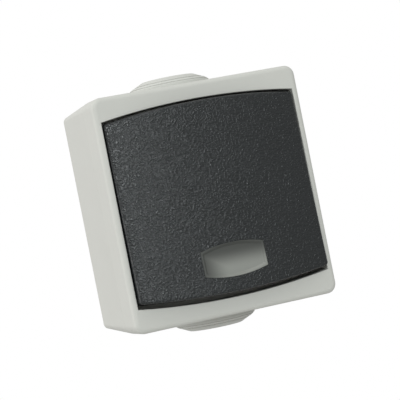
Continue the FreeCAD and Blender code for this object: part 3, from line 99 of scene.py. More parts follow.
def addRange(nodes, before=(0, 1), after=(0, 1), kind="LINEAR"):
    # A node that turns values between the numbers of before into ones between those of after.
    node = nodes.new("ShaderNodeMapRange")
    node.interpolation_type = kind
    node.inputs["From Min"].default_value, node.inputs["From Max"].default_value = before
    node.inputs["To Min"].default_value, node.inputs["To Max"].default_value = after
    return node


# White backdrop and soft light from all round, large lamps at the rear left and above, and a
# small one in front that lights up the grain.
studio = {
    "backdrop": 1.0,                      # what the camera sees behind the object
    "ambientAxis": (-0.45, 0.0, 0.89),    # the soft light is strongest from this side
    "ambientAlong": 0.90,
    "ambientAgainst": 0.30,
    "ambientColour": (1.0, 1.0, 0.99),
    "floorHeight": -0.62,
    "floorWidth": 1.6,
    "floorColour": (0.56, 0.56, 0.55),
    "floorRoughness": 0.9,
    "lamps": [
        # name, place, width, power, colour
        ("sideLamp", (-1.13, 0.46, 0.25), 0.8, 5.0, (1.0, 0.985, 1.0)),
        ("topLamp", (-0.20, -0.22, 1.20), 0.8, 1.8, (1.0, 1.0, 0.98)),
        ("grainLamp", (-0.29, -1.25, 0.31), 0.20, 5.2, (0.93, 0.985, 1.0)),
    ],
}


def makeWorld(settings):
    world = bpy.data.worlds.new("studioWorld")
    bpy.context.scene.world = world
    world.use_nodes = True
    nodes, links = world.node_tree.nodes, world.node_tree.links
    nodes.clear()
    output = nodes.new("ShaderNodeOutputWorld")
    mix = nodes.new("ShaderNodeMixShader")
    path = nodes.new("ShaderNodeLightPath")
    soft = nodes.new("ShaderNodeBackground")
    soft.inputs["Color"].default_value = (*settings["ambientColour"], 1)
    direction = nodes.new("ShaderNodeTexCoord")
    along = nodes.new("ShaderNodeVectorMath")
    along.operation = "DOT_PRODUCT"
    along.inputs[1].default_value = settings["ambientAxis"]
    strength = addRange(nodes, before=(-1, 1),
                        after=(settings["ambientAgainst"], settings["ambientAlong"]))
    links.new(direction.outputs["Generated"], along.inputs[0])
    links.new(along.outputs["Value"], strength.inputs["Value"])
    links.new(strength.outputs["Result"], soft.inputs["Strength"])
    seen = nodes.new("ShaderNodeBackground")
    seen.inputs["Color"].default_value = (1, 1, 1, 1)
    seen.inputs["Strength"].default_value = settings["backdrop"]
    links.new(path.outputs["Is Camera Ray"], mix.inputs["Fac"])
    links.new(soft.outputs["Background"], mix.inputs[1])
    links.new(seen.outputs["Background"], mix.inputs[2])
    links.new(mix.outputs["Shader"], output.inputs["Surface"])


def makeLamp(name, place, width, power, colour):
    # A square lamp that points at the middle of the wall face.
    lamp = bpy.data.lights.new(name, "AREA")
    lamp.shape = "SQUARE"
    lamp.size = width
    lamp.energy = power
    lamp.color = colour
    lampObject = bpy.data.objects.new(name, lamp)
    lampObject.location = place
    lampObject.rotation_euler = (-Vector(place)).to_track_quat("-Z", "Y").to_euler()
    bpy.context.scene.collection.objects.link(lampObject)


def makeFloor(settings):
    bpy.ops.mesh.primitive_plane_add(size=settings["floorWidth"],
                                     location=(0, 0, settings["floorHeight"]))
    floor = bpy.context.object
    floor.name = "floor"
    material = bpy.data.materials.new("floorPaint")
    material.use_nodes = True
    shader = material.node_tree.nodes["Principled BSDF"]
    shader.inputs["Base Color"].default_value = (*settings["floorColour"], 1)
    shader.inputs["Roughness"].default_value = settings["floorRoughness"]
    floor.data.materials.append(material)


makeWorld(studio)
for lampSettings in studio["lamps"]:
    makeLamp(*lampSettings)
makeFloor(studio)
bpy.context.scene.view_settings.view_transform = "Standard"
print("studio made")


# Small tools that the pieces below share.
def deselectAll():
    if bpy.context.object and bpy.context.object.mode != "OBJECT":
        bpy.ops.object.mode_set(mode="OBJECT")
    bpy.ops.object.select_all(action="DESELECT")


def focus(piece):
    deselectAll()
    piece.select_set(True)
    bpy.context.view_layer.objects.active = piece


def pick(piece, chosen, kind="VERT"):
    # Selects the vertices or edges for which chosen(element) holds, and enters edit mode.
    focus(piece)
    bpy.ops.object.mode_set(mode="EDIT")
    bpy.ops.mesh.select_mode(type=kind)
    bpy.ops.mesh.select_all(action="DESELECT")
    bpy.ops.object.mode_set(mode="OBJECT")
    elements = piece.data.edges if kind == "EDGE" else piece.data.vertices
    found = [element for element in elements if chosen(element)]
    if not found:
        raise RuntimeError("nothing selected on " + piece.name)
    for element in found:
        element.select = True
    bpy.ops.object.mode_set(mode="EDIT")


def endsOf(piece, edge):
    return [piece.data.vertices[index].co for index in edge.vertices]


def edgeAt(piece, test):
    return lambda edge: all(test(point) for point in endsOf(piece, edge))


def near(value, target):
    return abs(value - target) < 2 * slack


def arcRadius(width, rise):
    # Radius of the arc that rises this far over a chord of this width.
    return (width ** 2 / 4 + rise ** 2) / (2 * rise)


def startLoop(place):
    # One vertex at a place, from a small plane merged to a point, ready to be extruded or spun.
    bpy.ops.mesh.primitive_plane_add(size=mm, location=place)
    bpy.ops.mesh.merge(type="CENTER")


def extrudeBy(step):
    bpy.ops.mesh.extrude_region_move(TRANSFORM_OT_translate={"value": step})


def addBarrelLoop(width, cornerHeight, rise, depth, centreUp, steps):
    # Straight sides with arched top and bottom, as one closed loop of edges, left selected.
    radius = arcRadius(width, rise)
    angle = 2 * math.asin(width / 2 / radius)
    top, bottom = centreUp + cornerHeight / 2, centreUp - cornerHeight / 2
    bpy.ops.mesh.select_all(action="DESELECT")
    startLoop((width / 2, -depth, top))
    bpy.ops.mesh.spin(steps=steps, angle=angle, center=(0, -depth, top + rise - radius),
                      axis=(0, 1, 0))
    extrudeBy((0, 0, bottom - top))
    bpy.ops.mesh.spin(steps=steps, angle=angle, center=(0, -depth, bottom - rise + radius),
                      axis=(0, 1, 0))
    bpy.ops.mesh.select_linked()


def newPiece(name):
    # An empty mesh, in edit mode.
    deselectAll()
    bpy.ops.mesh.primitive_plane_add(size=mm)
    piece = bpy.context.object
    piece.name = name
    piece.data.name = name
    bpy.ops.object.mode_set(mode="EDIT")
    bpy.ops.mesh.select_mode(type="VERT")
    bpy.ops.mesh.select_all(action="SELECT")
    bpy.ops.mesh.delete(type="VERT")
    return piece


def leaveEditMode():
    # With all faces turned outwards.
    bpy.ops.mesh.select_all(action="SELECT")
    bpy.ops.mesh.normals_make_consistent(inside=False)
    bpy.ops.object.mode_set(mode="OBJECT")


def barrelBlock(name, size, rear, front, rise, centreUp=0.0, steps=28, frontSize=None):
    # A block between two depths, arched at the top and the bottom. size is its width and its
    # height at the corners. With frontSize it widens on its way to the front.
    piece = newPiece(name)
    addBarrelLoop(*size, rise, rear, centreUp, steps)
    bpy.ops.mesh.edge_face_add()
    addBarrelLoop(*(frontSize or size), rise, front, centreUp, steps)
    bpy.ops.mesh.edge_face_add()
    bpy.ops.mesh.select_all(action="SELECT")
    bpy.ops.mesh.bridge_edge_loops()
    leaveEditMode()
    return piece


def roundedBlock(name, width, height, corner, rear, front, centreUp=0.0, segments=10):
    deselectAll()
    bpy.ops.mesh.primitive_plane_add(size=1, location=(0, -rear, centreUp),
                                     rotation=(math.pi / 2, 0, 0))
    piece = bpy.context.object
    piece.name = name
    piece.scale = (width, height, 1)
    bpy.ops.object.transform_apply(location=True, rotation=True, scale=True)
    bpy.ops.object.mode_set(mode="EDIT")
    bpy.ops.mesh.select_all(action="SELECT")
    bpy.ops.mesh.bevel(offset=corner, segments=segments, affect="VERTICES")
    bpy.ops.mesh.select_all(action="SELECT")
    extrudeBy((0, rear - front, 0))
    leaveEditMode()
    return piece


def roundBlock(name, radius, rear, front, across, up, frontRadius=None):
    # A round peg along the depth, or a cone where frontRadius is given.
    deselectAll()
    bpy.ops.mesh.primitive_cone_add(
        vertices=48, radius1=radius, radius2=frontRadius or radius, depth=front - rear,
        location=(across, -(rear + front) / 2, up), rotation=(math.pi / 2, 0, 0))
    piece = bpy.context.object
    piece.name = name
    bpy.ops.object.transform_apply(location=True, rotation=True, scale=True)
    return piece


def plainBlock(name, low, high):
    # A box between two corners, for pieces that are cut or joined.
    deselectAll()
    middle = [(a + b) / 2 for a, b in zip(low, high)]
    bpy.ops.mesh.primitive_cube_add(size=1, location=middle)
    piece = bpy.context.object
    piece.name = name
    piece.scale = [abs(b - a) for a, b in zip(low, high)]
    bpy.ops.object.transform_apply(location=True, rotation=True, scale=True)
    return piece


def combine(piece, tool, operation="DIFFERENCE"):
    modifier = piece.modifiers.new(operation.lower(), "BOOLEAN")
    modifier.operation = operation
    modifier.solver = "EXACT"
    modifier.object = tool
    focus(piece)
    bpy.ops.object.modifier_apply(modifier=modifier.name)
    bpy.data.objects.remove(tool, do_unlink=True)


def bevelEdges(piece, chosen, offset, segments):
    pick(piece, chosen, "EDGE")
    bpy.ops.mesh.bevel(offset=offset, segments=segments, affect="EDGES", clamp_overlap=False)
    bpy.ops.object.mode_set(mode="OBJECT")


def tidyMesh(piece, reach=0.002 * mm):
    # Merges vertices that are closer than reach.
    pick(piece, lambda vertex: True)
    bpy.ops.mesh.remove_doubles(threshold=reach)
    leaveEditMode()


def softenEdges(piece, width, angle):
    # A narrow bevel along every edge that is sharper than the angle, in degrees.
    modifier = piece.modifiers.new("softEdges", "BEVEL")
    modifier.width = width
    modifier.segments = 3
    modifier.limit_method = "ANGLE"
    modifier.angle_limit = math.radians(angle)
    focus(piece)
    bpy.ops.object.modifier_apply(modifier=modifier.name)


def smoothShading(piece, angle=32):
    focus(piece)
    bpy.ops.object.shade_smooth_by_angle(angle=math.radians(angle))
    modifier = piece.modifiers.new("evenNormals", "WEIGHTED_NORMAL")
    modifier.keep_sharp = True
    modifier.weight = 100
    bpy.ops.object.modifier_apply(modifier=modifier.name)


def placeTilted(piece, angle, pivotDepth):
    # Modelled level; turned with the rocker about its pivot and applied.
    place = Matrix.Translation((0, -pivotDepth, 0)) @ Matrix.Rotation(-math.radians(angle), 4, "X")
    piece.matrix_world = place @ Matrix.Translation((0, pivotDepth, 0))
    focus(piece)
    bpy.ops.object.transform_apply(location=True, rotation=True, scale=True)


# Front cover: the frame around the rocker.
cover = {
    "width": 69 * mm,
    "height": 75 * mm,
    "corner": 3.2 * mm,
    "rear": 31.9 * mm,
    "front": 44.3 * mm,
    "edgeRadius": 1.6 * mm,
    "partingBevel": 0.2 * mm,
    "deckFront": 34.1 * mm,
    "opening": (64.8 * mm, 59.3 * mm),                       # width, height at the corners
    "arch": 2.4 * mm,
    "openingEdge": 0.3 * mm,
    "frontWall": 2.0 * mm,
    "openingWall": 1.6 * mm,
    "sideWall": 2.4 * mm,
    "window": (30.8 * mm, 45.0 * mm, 2.4 * mm, -2.1 * mm),   # width, height, corner, middle up
    "screwAcross": 27.5 * mm,
    "screwUp": 22.0 * mm,
    "screwHole": 1.75 * mm,
    "screwHead": 3.1 * mm,
    "tongue": (1.35 * mm, 1.0 * mm, 29.1 * mm),              # inset, thickness, rear
    "over": 1.0 * mm,                                        # how far cutters go past a face
    "far": 100 * mm,                                         # in front of every piece
}


def makeFrontCover(c):
    piece = roundedBlock("coverFrame", c["width"], c["height"], c["corner"], c["rear"],
                         c["front"], segments=14)
    bevelEdges(piece, edgeAt(piece, lambda p: near(p.y, -c["front"])), c["edgeRadius"],
               segments=9)
    bevelEdges(piece, edgeAt(piece, lambda p: near(p.y, -c["rear"])), c["partingBevel"],
               segments=2)
    openingWidth, openingHeight = c["opening"]
    combine(piece, barrelBlock("openingCutter", c["opening"], c["deckFront"],
                               c["front"] + c["over"], c["arch"], steps=44))
    halfWidth = openingWidth / 2 + slack
    halfHeight = openingHeight / 2 + c["arch"] + slack
    bevelEdges(piece, edgeAt(piece, lambda p: near(p.y, -c["front"]) and abs(p.x) < halfWidth
                             and abs(p.z) < halfHeight), c["openingEdge"], segments=5)

    # Hollows behind the upper and the lower margin.
    inner = c["width"] - 2 * c["sideWall"]
    outerHeight = c["height"] - 2 * c["sideWall"]
    kept = (inner + 2 * c["over"], openingHeight + 2 * c["openingWall"])
    for sign in (1, -1):
        block = plainBlock("marginCutter", (-inner / 2, -c["rear"] + c["over"], 0),
                           (inner / 2, -c["front"] + c["frontWall"], sign * outerHeight / 2))
        combine(block, barrelBlock("marginKeeper", kept, 0, c["far"], c["arch"]))
        combine(piece, block)

    # The window for the mechanism and the countersunk screw holes.
    behind, beyond = c["rear"] - c["over"], c["deckFront"] + c["over"]
    width, height, corner, middle = c["window"]
    combine(piece, roundedBlock("windowCutter", width, height, corner, behind, beyond,
                                centreUp=middle))
    sink = c["screwHead"] - c["screwHole"]
    spare = sink / 4
    for across in (c["screwAcross"], -c["screwAcross"]):
        for up in (c["screwUp"], -c["screwUp"]):
            combine(piece, roundBlock("holeCutter", c["screwHole"], behind, beyond, across, up))
            combine(piece, roundBlock("sinkCutter", c["screwHole"] - spare,
                                      c["deckFront"] - sink - spare, c["deckFront"] + spare,
                                      across, up, frontRadius=c["screwHead"] + spare))

    # The tongue that reaches into the housing.
    inset, thickness, tongueRear = c["tongue"]
    tongue = roundedBlock("coverTongue", c["width"] - 2 * inset, c["height"] - 2 * inset,
                          c["corner"] - inset, tongueRear, c["rear"] + c["over"] / 2)
    inset += thickness
    combine(tongue, roundedBlock("tongueCutter", c["width"] - 2 * inset,
                                 c["height"] - 2 * inset, c["corner"] - inset,
                                 tongueRear - c["over"], c["rear"] + c["over"]))
    combine(piece, tongue, "UNION")
    tidyMesh(piece)
    smoothShading(piece)
    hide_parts("front_cover")
    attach(piece, "housing")
    return piece


coverFrame = makeFrontCover(cover)
print("front cover modelled", len(coverFrame.data.polygons))


# Rocker: crowned cap, modelled level and tilted at the end.
rockerCap = {
    "width": 64.0 * mm,
    "cornerHeight": 57.1 * mm,
    "arch": 2.15 * mm,
    "corner": 0.8 * mm,
    "edgeRadius": 0.7 * mm,
    "skirtEnd": 35.79 * mm,
    "sideDepth": 45.6 * mm,
    "crownDepth": 49.2 * mm,
    "wall": 1.8 * mm,
    "tilt": 2.5,                                         # degrees
    "pivotDepth": 36.5 * mm,
    "windowDrop": 20.55 * mm,
    "window": (21.3 * mm, 8.05 * mm, 1.45 * mm),         # width, height at the corners, arch
    "windowBevel": 0.12 * mm,
    "seat": (24.2 * mm, 13.9 * mm, 47.7 * mm),           # width, height, depth of its face
    "rootDrop": 1.3 * mm,                                # ribs and hooks start this far back
    "ribs": (8.0 * mm, 1.6 * mm, 13.0 * mm, 41.0 * mm),  # offset, thickness, half length, rear
    # offset, thickness, lower end, upper end, rear
    "hooks": (12.5 * mm, 1.2 * mm, 6.0 * mm, 10.0 * mm, 38.1 * mm),
    "barb": (0.9 * mm, 1.2 * mm),                        # reach inwards, length
    "over": 1.0 * mm,
    "crownSteps": 72,
    "windowSteps": 22,
}


def crownRadius(r):
    return arcRadius(r["width"], r["crownDepth"] - r["sideDepth"])


def crownedBlock(name, r, drop, reach, low, high):
    # Everything behind the crowned face, or behind one that lies the drop farther back, up to
    # reach on both sides and between two heights.
    radius = crownRadius(r) - drop
    centreY = crownRadius(r) - r["crownDepth"]
    edgeY = centreY - math.sqrt(radius ** 2 - reach ** 2)
    piece = newPiece(name)
    startLoop((reach, edgeY, low))
    bpy.ops.mesh.spin(steps=r["crownSteps"], angle=2 * math.asin(reach / radius),
                      center=(0, centreY, low), axis=(0, 0, 1))
    extrudeBy((0, -r["skirtEnd"] + r["over"] - edgeY, 0))
    extrudeBy((2 * reach, 0, 0))
    bpy.ops.mesh.select_linked()
    bpy.ops.mesh.edge_face_add()
    extrudeBy((0, 0, high - low))
    leaveEditMode()
    return piece


def makeInnerBlocks(r):
    # Ribs and hooks behind the crown, as blocks to be joined with the cap.
    root = r["crownDepth"] - r["rootDrop"]
    ribOffset, ribThickness, ribReach, ribRear = r["ribs"]
    hookOffset, hookThickness, hookLow, hookHigh, hookRear = r["hooks"]
    barbReach, barbLength = r["barb"]
    blocks = []
    for side in (1, -1):
        blocks.append(plainBlock("rib", (side * ribOffset - ribThickness / 2, -root, -ribReach),
                                 (side * ribOffset + ribThickness / 2, -ribRear, ribReach)))
        for level in (1, -1):
            low, high = level * hookLow, level * hookHigh
            blocks.append(plainBlock("hook", (side * hookOffset, -root, low),
                                     (side * (hookOffset + hookThickness), -hookRear, high)))
            blocks.append(plainBlock("barb", (side * (hookOffset - barbReach),
                                              -hookRear - barbLength, low),
                                     (side * hookOffset, -hookRear, high)))
    return blocks


def makeRocker(r):
    beyond = r["crownDepth"] + r["over"]
    reach = r["width"] / 2 + r["over"]
    tall = r["cornerHeight"] / 2 + r["arch"] + r["over"]
    piece = barrelBlock("rockerCap", (r["width"], r["cornerHeight"]), r["skirtEnd"], beyond,
                        r["arch"], steps=40)
    corners = edgeAt(piece, lambda p: near(abs(p.x), r["width"] / 2)
                     and near(abs(p.z), r["cornerHeight"] / 2))
    bevelEdges(piece, corners, r["corner"], segments=6)
    combine(piece, crownedBlock("crownKeeper", r, 0, reach, -tall, tall), "INTERSECT")

    # The edge around the crowned face.
    radius = crownRadius(r)
    centreY = radius - r["crownDepth"]
    archRadius = arcRadius(r["width"], r["arch"])
    archCentre = r["cornerHeight"] / 2 + r["arch"] - archRadius
    halfWidth, halfHeight = r["width"] / 2 - slack, r["cornerHeight"] / 2 - slack

    def onCrown(point):
        return abs(math.hypot(point.x, point.y - centreY) - radius) < curveSlack

    def onOutline(point):
        across, up = abs(point.x), abs(point.z)
        onArch = abs(math.hypot(across, up - archCentre) - archRadius) < curveSlack
        atCorner = across > halfWidth - r["corner"] and up > halfHeight - r["corner"]
        return onArch or atCorner or across > halfWidth

    def frontEdge(edge):
        a, b = endsOf(piece, edge)
        return onCrown(a) and onCrown(b) and all(onOutline(p) for p in (a, b, (a + b) / 2))

    bevelEdges(piece, frontEdge, r["edgeRadius"], segments=8)

    # The hollow, one wall smaller, then the window and its seat.
    hollow = (r["width"] - 2 * r["wall"], r["cornerHeight"] - 2 * r["wall"])
    core = barrelBlock("coreKeeper", hollow, r["skirtEnd"] - r["over"], r["crownDepth"],
                       r["arch"])
    combine(core, crownedBlock("coreCrown", r, r["wall"], reach, -tall, tall), "INTERSECT")
    combine(piece, core)
    windowUp = -r["windowDrop"]
    seatWidth, seatHeight, seatDepth = r["seat"]
    combine(piece, plainBlock("seatCutter",
                              (-seatWidth / 2, -seatDepth, windowUp - seatHeight / 2),
                              (seatWidth / 2, -seatDepth + r["wall"], windowUp + seatHeight / 2)))
    width, cornerHeight, rise = r["window"]
    combine(piece, barrelBlock("windowCutter", (width, cornerHeight), seatDepth - r["wall"],
                               beyond, rise, centreUp=windowUp, steps=r["windowSteps"]))
    windowWidth, windowHeight = width / 2 + slack, cornerHeight / 2 + rise + slack

    def windowEdge(edge):
        return all(onCrown(p) and abs(p.x) < windowWidth and abs(p.z - windowUp) < windowHeight
                   for p in endsOf(piece, edge))

    bevelEdges(piece, windowEdge, r["windowBevel"], segments=3)
    tidyMesh(piece)
    smoothShading(piece)
    blocks = makeInnerBlocks(r)
    focus(piece)
    for block in blocks:
        block.select_set(True)
    bpy.ops.object.join()
    placeTilted(piece, r["tilt"], r["pivotDepth"])
    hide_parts("rocker")
    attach(piece, "rocker")
    return piece


rocker = makeRocker(rockerCap)
print("rocker modelled", len(rocker.data.polygons))


# Indicator window: a shallow tray of smoke-grey plastic.
lensSizes = {
    "size": (21.2 * mm, 7.95 * mm, 1.45 * mm),    # width, height at the corners, arch
    "recess": 0.12 * mm,
    "dishDepth": 0.85 * mm,
    "rim": 0.2 * mm,
    "flange": 0.95 * mm,
    "flangeFront": 47.7 * mm,
    "edge": 0.05 * mm,
    "sharpAngle": 30,
    "crownReach": 20 * mm,                        # past the window above and below
}


def makeLens(s, r):
    width, cornerHeight, rise = s["size"]
    up, over, steps = -r["windowDrop"], r["over"], r["windowSteps"]
    piece = barrelBlock("indicatorWindow", (width, cornerHeight), s["flangeFront"] - over / 2,
                        r["crownDepth"] + over, rise, centreUp=up, steps=steps)
    combine(piece, crownedBlock("windowCrown", r, s["recess"], r["width"] / 2,
                                up - s["crownReach"], up + s["crownReach"]), "INTERSECT")

    # The dish in its front, with sloping walls, and the flange behind the rocker's face.
    floorDepth = r["crownDepth"] - s["recess"] - s["dishDepth"]
    reach = s["dishDepth"] + s["recess"] + over
    inset = s["rim"] + s["dishDepth"]
    floor = (width - 2 * inset, cornerHeight - 2 * inset)
    mouth = (floor[0] + 2 * reach, floor[1] + 2 * reach)
    combine(piece, barrelBlock("dishCutter", floor, floorDepth, floorDepth + reach, rise,
                               centreUp=up, steps=steps, frontSize=mouth))
    flange = (width + 2 * s["flange"], cornerHeight + 2 * s["flange"])
    combine(piece, barrelBlock("windowFlange", flange, s["flangeFront"] - s["flange"],
                               s["flangeFront"], rise, centreUp=up, steps=steps), "UNION")
    tidyMesh(piece)
    softenEdges(piece, s["edge"], s["sharpAngle"])
    smoothShading(piece)
    placeTilted(piece, r["tilt"], r["pivotDepth"])
    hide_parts("indicator_lens")
    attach(piece, "rocker")
    return piece


indicatorWindow = makeLens(lensSizes, rockerCap)
print("indicator window modelled", len(indicatorWindow.data.polygons))


# Cable glands: one profile, turned about the upright axis, the lower one upside down.
gland = {
    "depth": 18.1 * mm,
    "profile": [
        # radius and height above the centre in millimetres, from the inside of the axis out
        (0.0, 40.6), (7.15, 40.6), (7.15, 39.1), (7.45, 37.95), (7.45, 32.9), (9.9, 32.9),
        (9.9, 33.9), (8.55, 33.9), (8.55, 37.5), (13.5, 37.5), (13.5, 39.1), (13.3, 39.35),
        (12.8, 39.35), (12.8, 39.55), (13.05, 39.55), (12.0, 40.25), (11.15, 40.25),
        (11.15, 40.45), (11.4, 40.45), (8.8, 41.7), (0.0, 41.7),
    ],
    "merge": 0.01 * mm,
    "edge": 0.12 * mm,
    "sharpAngle": 25,
    "steps": 96,
}


def makeGland(name, node, g, flip):
    piece = newPiece(name)
    places = [Vector((radius * mm, -g["depth"], flip * height * mm))
              for radius, height in g["profile"]]
    startLoop(places[0])
    for before, after in zip(places, places[1:]):
        extrudeBy(after - before)
    bpy.ops.mesh.select_all(action="SELECT")
    bpy.ops.mesh.spin(steps=g["steps"], angle=math.tau, center=(0, -g["depth"], 0),
                      axis=(0, 0, 1))
    bpy.ops.object.mode_set(mode="OBJECT")
    tidyMesh(piece, g["merge"])
    softenEdges(piece, g["edge"], g["sharpAngle"])
    smoothShading(piece)
    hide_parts(node)
    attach(piece, "housing")
    return piece


topGland = makeGland("topGland", "top_cable_gland", gland, 1)
bottomGland = makeGland("bottomGland", "bottom_cable_gland", gland, -1)
print("glands modelled", len(topGland.data.polygons))


# Housing: the CAD solid's own faces, merged and shaded smooth, in place of the node.
def smoothedCopy(node, name, body):
    piece = bpy.data.objects.new(name, frame["nodes"][node].data.copy())
    piece.data.name = name
    bpy.context.scene.collection.objects.link(piece)
    tidyMesh(piece, reach=0.001 * mm)
    smoothShading(piece, angle=30)
    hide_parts(node)
    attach(piece, body)
    return piece


housingShell = smoothedCopy("rear_housing", "housingShell", "housing")
print("housing smoothed", len(housingShell.data.polygons))


# Effects that several finishes share.
grainSettings = {
    "fineDetail": 1.5,
    "fineRoughness": 0.55,
    "coarseDetail": 1.0,
    "heights": (0.32, 0.68),    # noise from the bottom to the top of the grain
    "specks": (0.50, 0.68),
}
toneSettings = {
    "detail": 3.0,
    "spread": (0.3, 0.7),       # noise from the dark to the light tone
}


def newGroup(name, inputs, outputs):
    group = bpy.data.node_groups.new(name, "ShaderNodeTree")
    for direction, sockets in (("INPUT", inputs), ("OUTPUT", outputs)):
        for label, kind in sockets:
            group.interface.new_socket(label, in_out=direction, socket_type=kind)
    return group, group.nodes.new("NodeGroupInput"), group.nodes.new("NodeGroupOutput")


def makeGrainGroup(settings):
    # Grain of a moulded surface: Height for the bump, Specks for the tops of the grains.
    group, source, result = newGroup(
        "mouldedGrain",
        [("Vector", "NodeSocketVector"), ("Grain Scale", "NodeSocketFloat"),
         ("Coarse Scale", "NodeSocketFloat"), ("Coarse Share", "NodeSocketFloat")],
        [("Height", "NodeSocketFloat"), ("Specks", "NodeSocketFloat")])
    nodes, links = group.nodes, group.links
    fine = nodes.new("ShaderNodeTexNoise")
    fine.inputs["Detail"].default_value = settings["fineDetail"]
    fine.inputs["Roughness"].default_value = settings["fineRoughness"]
    coarse = nodes.new("ShaderNodeTexNoise")
    coarse.inputs["Detail"].default_value = settings["coarseDetail"]
    links.new(source.outputs["Vector"], fine.inputs["Vector"])
    links.new(source.outputs["Vector"], coarse.inputs["Vector"])
    links.new(source.outputs["Grain Scale"], fine.inputs["Scale"])
    links.new(source.outputs["Coarse Scale"], coarse.inputs["Scale"])
    both = nodes.new("ShaderNodeMix")
    both.data_type = "FLOAT"
    links.new(source.outputs["Coarse Share"], both.inputs["Factor"])
    links.new(fine.outputs["Fac"], both.inputs["A"])
    links.new(coarse.outputs["Fac"], both.inputs["B"])
    height = addRange(nodes, before=settings["heights"], kind="SMOOTHSTEP")
    links.new(both.outputs["Result"], height.inputs["Value"])
    specks = addRange(nodes, before=settings["specks"])
    links.new(fine.outputs["Fac"], specks.inputs["Value"])
    links.new(height.outputs["Result"], result.inputs["Height"])
    links.new(specks.outputs["Result"], result.inputs["Specks"])
    return group


def makeToneGroup(settings):
    # Slow changes of colour over a surface, between two tones.
    group, source, result = newGroup(
        "slowTone",
        [("Vector", "NodeSocketVector"), ("Scale", "NodeSocketFloat"),
         ("Light Tone", "NodeSocketColor"), ("Dark Tone", "NodeSocketColor")],
        [("Color", "NodeSocketColor"), ("Mask", "NodeSocketFloat")])
    nodes, links = group.nodes, group.links
    noise = nodes.new("ShaderNodeTexNoise")
    noise.inputs["Detail"].default_value = settings["detail"]
    links.new(source.outputs["Vector"], noise.inputs["Vector"])
    links.new(source.outputs["Scale"], noise.inputs["Scale"])
    spread = addRange(nodes, before=settings["spread"])
    links.new(noise.outputs["Fac"], spread.inputs["Value"])
    mix = nodes.new("ShaderNodeMix")
    mix.data_type = "RGBA"
    links.new(spread.outputs["Result"], mix.inputs["Factor"])
    links.new(source.outputs["Dark Tone"], mix.inputs["A"])
    links.new(source.outputs["Light Tone"], mix.inputs["B"])
    links.new(mix.outputs["Result"], result.inputs["Color"])
    links.new(spread.outputs["Result"], result.inputs["Mask"])
    return group


grainGroup = makeGrainGroup(grainSettings)
toneGroup = makeToneGroup(toneSettings)


# Finishes, one for each material slot of the record. grain is its scale, the scale of its coarse
# part and that part's share; roughness goes from between the grains to their tops.
finishes = {
    "grey_plastic": {
        "light": (0.576, 0.580, 0.542), "dark": (0.561, 0.565, 0.528), "toneScale": 55.0,
        "grain": (3200.0, 700.0, 0.35), "bump": 0.12, "bumpDistance": 0.006 * mm,
        "roughness": (0.54, 0.62), "specular": 0.4,
    },
    "grey_rubber": {
        "light": (0.585, 0.590, 0.555), "dark": (0.562, 0.568, 0.533), "toneScale": 70.0,
        "grain": (2600.0, 600.0, 0.4), "bump": 0.1, "bumpDistance": 0.004 * mm,
        "roughness": (0.62, 0.70), "specular": 0.35,
    },
    "anthracite_plastic": {
        "light": (0.0106, 0.0132, 0.0142), "dark": (0.0088, 0.0112, 0.0120), "toneScale": 60.0,
        "grain": (1650.0, 900.0, 0.03), "bump": 1.0, "bumpDistance": 0.115 * mm,
        "roughness": (0.30, 0.23), "specular": 0.5,
    },
    "lens_plastic": {
        "light": (0.263, 0.273, 0.250), "dark": (0.250, 0.259, 0.237), "toneScale": 90.0,
        "grain": (1500.0, 400.0, 0.5), "bump": 0.03, "bumpDistance": 0.004 * mm,
        "roughness": (0.34, 0.38), "specular": 0.5,
        # painted shade, darker towards the top and the left end, between two heights and two
        # places across
        "paintedShade": (0.062, 0.066, 0.060),
        "paintedShadeUp": (-22.9 * mm, -16.6 * mm),
        "paintedShadeAcross": (-1.5 * mm, -11.0 * mm),
    },
    "black_rubber": {
        "light": (0.030, 0.030, 0.030), "dark": (0.020, 0.020, 0.020), "toneScale": 120.0,
        "grain": (2500.0, 600.0, 0.4), "bump": 0.25, "bumpDistance": 0.05 * mm,
        "roughness": (0.65, 0.8), "specular": 0.3,
    },
    "white_plastic": {
        "light": (0.78, 0.78, 0.75), "dark": (0.72, 0.72, 0.69), "toneScale": 80.0,
        "grain": (3000.0, 700.0, 0.3), "bump": 0.1, "bumpDistance": 0.03 * mm,
        "roughness": (0.38, 0.5), "specular": 0.45,
    },
    "zinc_steel": {
        "light": (0.68, 0.68, 0.66), "dark": (0.52, 0.52, 0.51), "toneScale": 400.0,
        "grain": (1800.0, 300.0, 0.5), "bump": 0.12, "bumpDistance": 0.03 * mm,
        "roughness": (0.28, 0.48), "specular": 0.5, "metallic": 1.0,
    },
    "contact_brass": {
        "light": (0.78, 0.60, 0.29), "dark": (0.62, 0.46, 0.20), "toneScale": 300.0,
        "grain": (2000.0, 350.0, 0.5), "bump": 0.1, "bumpDistance": 0.03 * mm,
        "roughness": (0.25, 0.42), "specular": 0.5, "metallic": 1.0,
    },
    "lamp_glass": {
        "light": (0.90, 0.86, 0.80), "dark": (0.84, 0.78, 0.72), "toneScale": 200.0,
        "grain": (900.0, 200.0, 0.5), "bump": 0.03, "bumpDistance": 0.02 * mm,
        "roughness": (0.05, 0.12), "specular": 0.5, "transmission": 0.7,
    },
}


# Painted shade: darkens the window's colour towards the top and the left end, for the shade in the
# cavity behind it.
def addPaintedShade(nodes, links, place, colour, f):
    parts = nodes.new("ShaderNodeSeparateXYZ")
    links.new(place, parts.inputs["Vector"])
    shadeAmount = nodes.new("ShaderNodeMath")
    shadeAmount.operation = "MAXIMUM"
    for index, (axis, limits) in enumerate((("Z", f["paintedShadeUp"]), ("X", f["paintedShadeAcross"]))):
        fade = addRange(nodes, before=limits, kind="SMOOTHSTEP")
        links.new(parts.outputs[axis], fade.inputs["Value"])
        links.new(fade.outputs["Result"], shadeAmount.inputs[index])
    paintedShade = nodes.new("ShaderNodeMix")
    paintedShade.data_type = "RGBA"
    paintedShade.inputs["B"].default_value = (*f["paintedShade"], 1)
    links.new(shadeAmount.outputs["Value"], paintedShade.inputs["Factor"])
    links.new(colour, paintedShade.inputs["A"])
    return paintedShade.outputs["Result"]


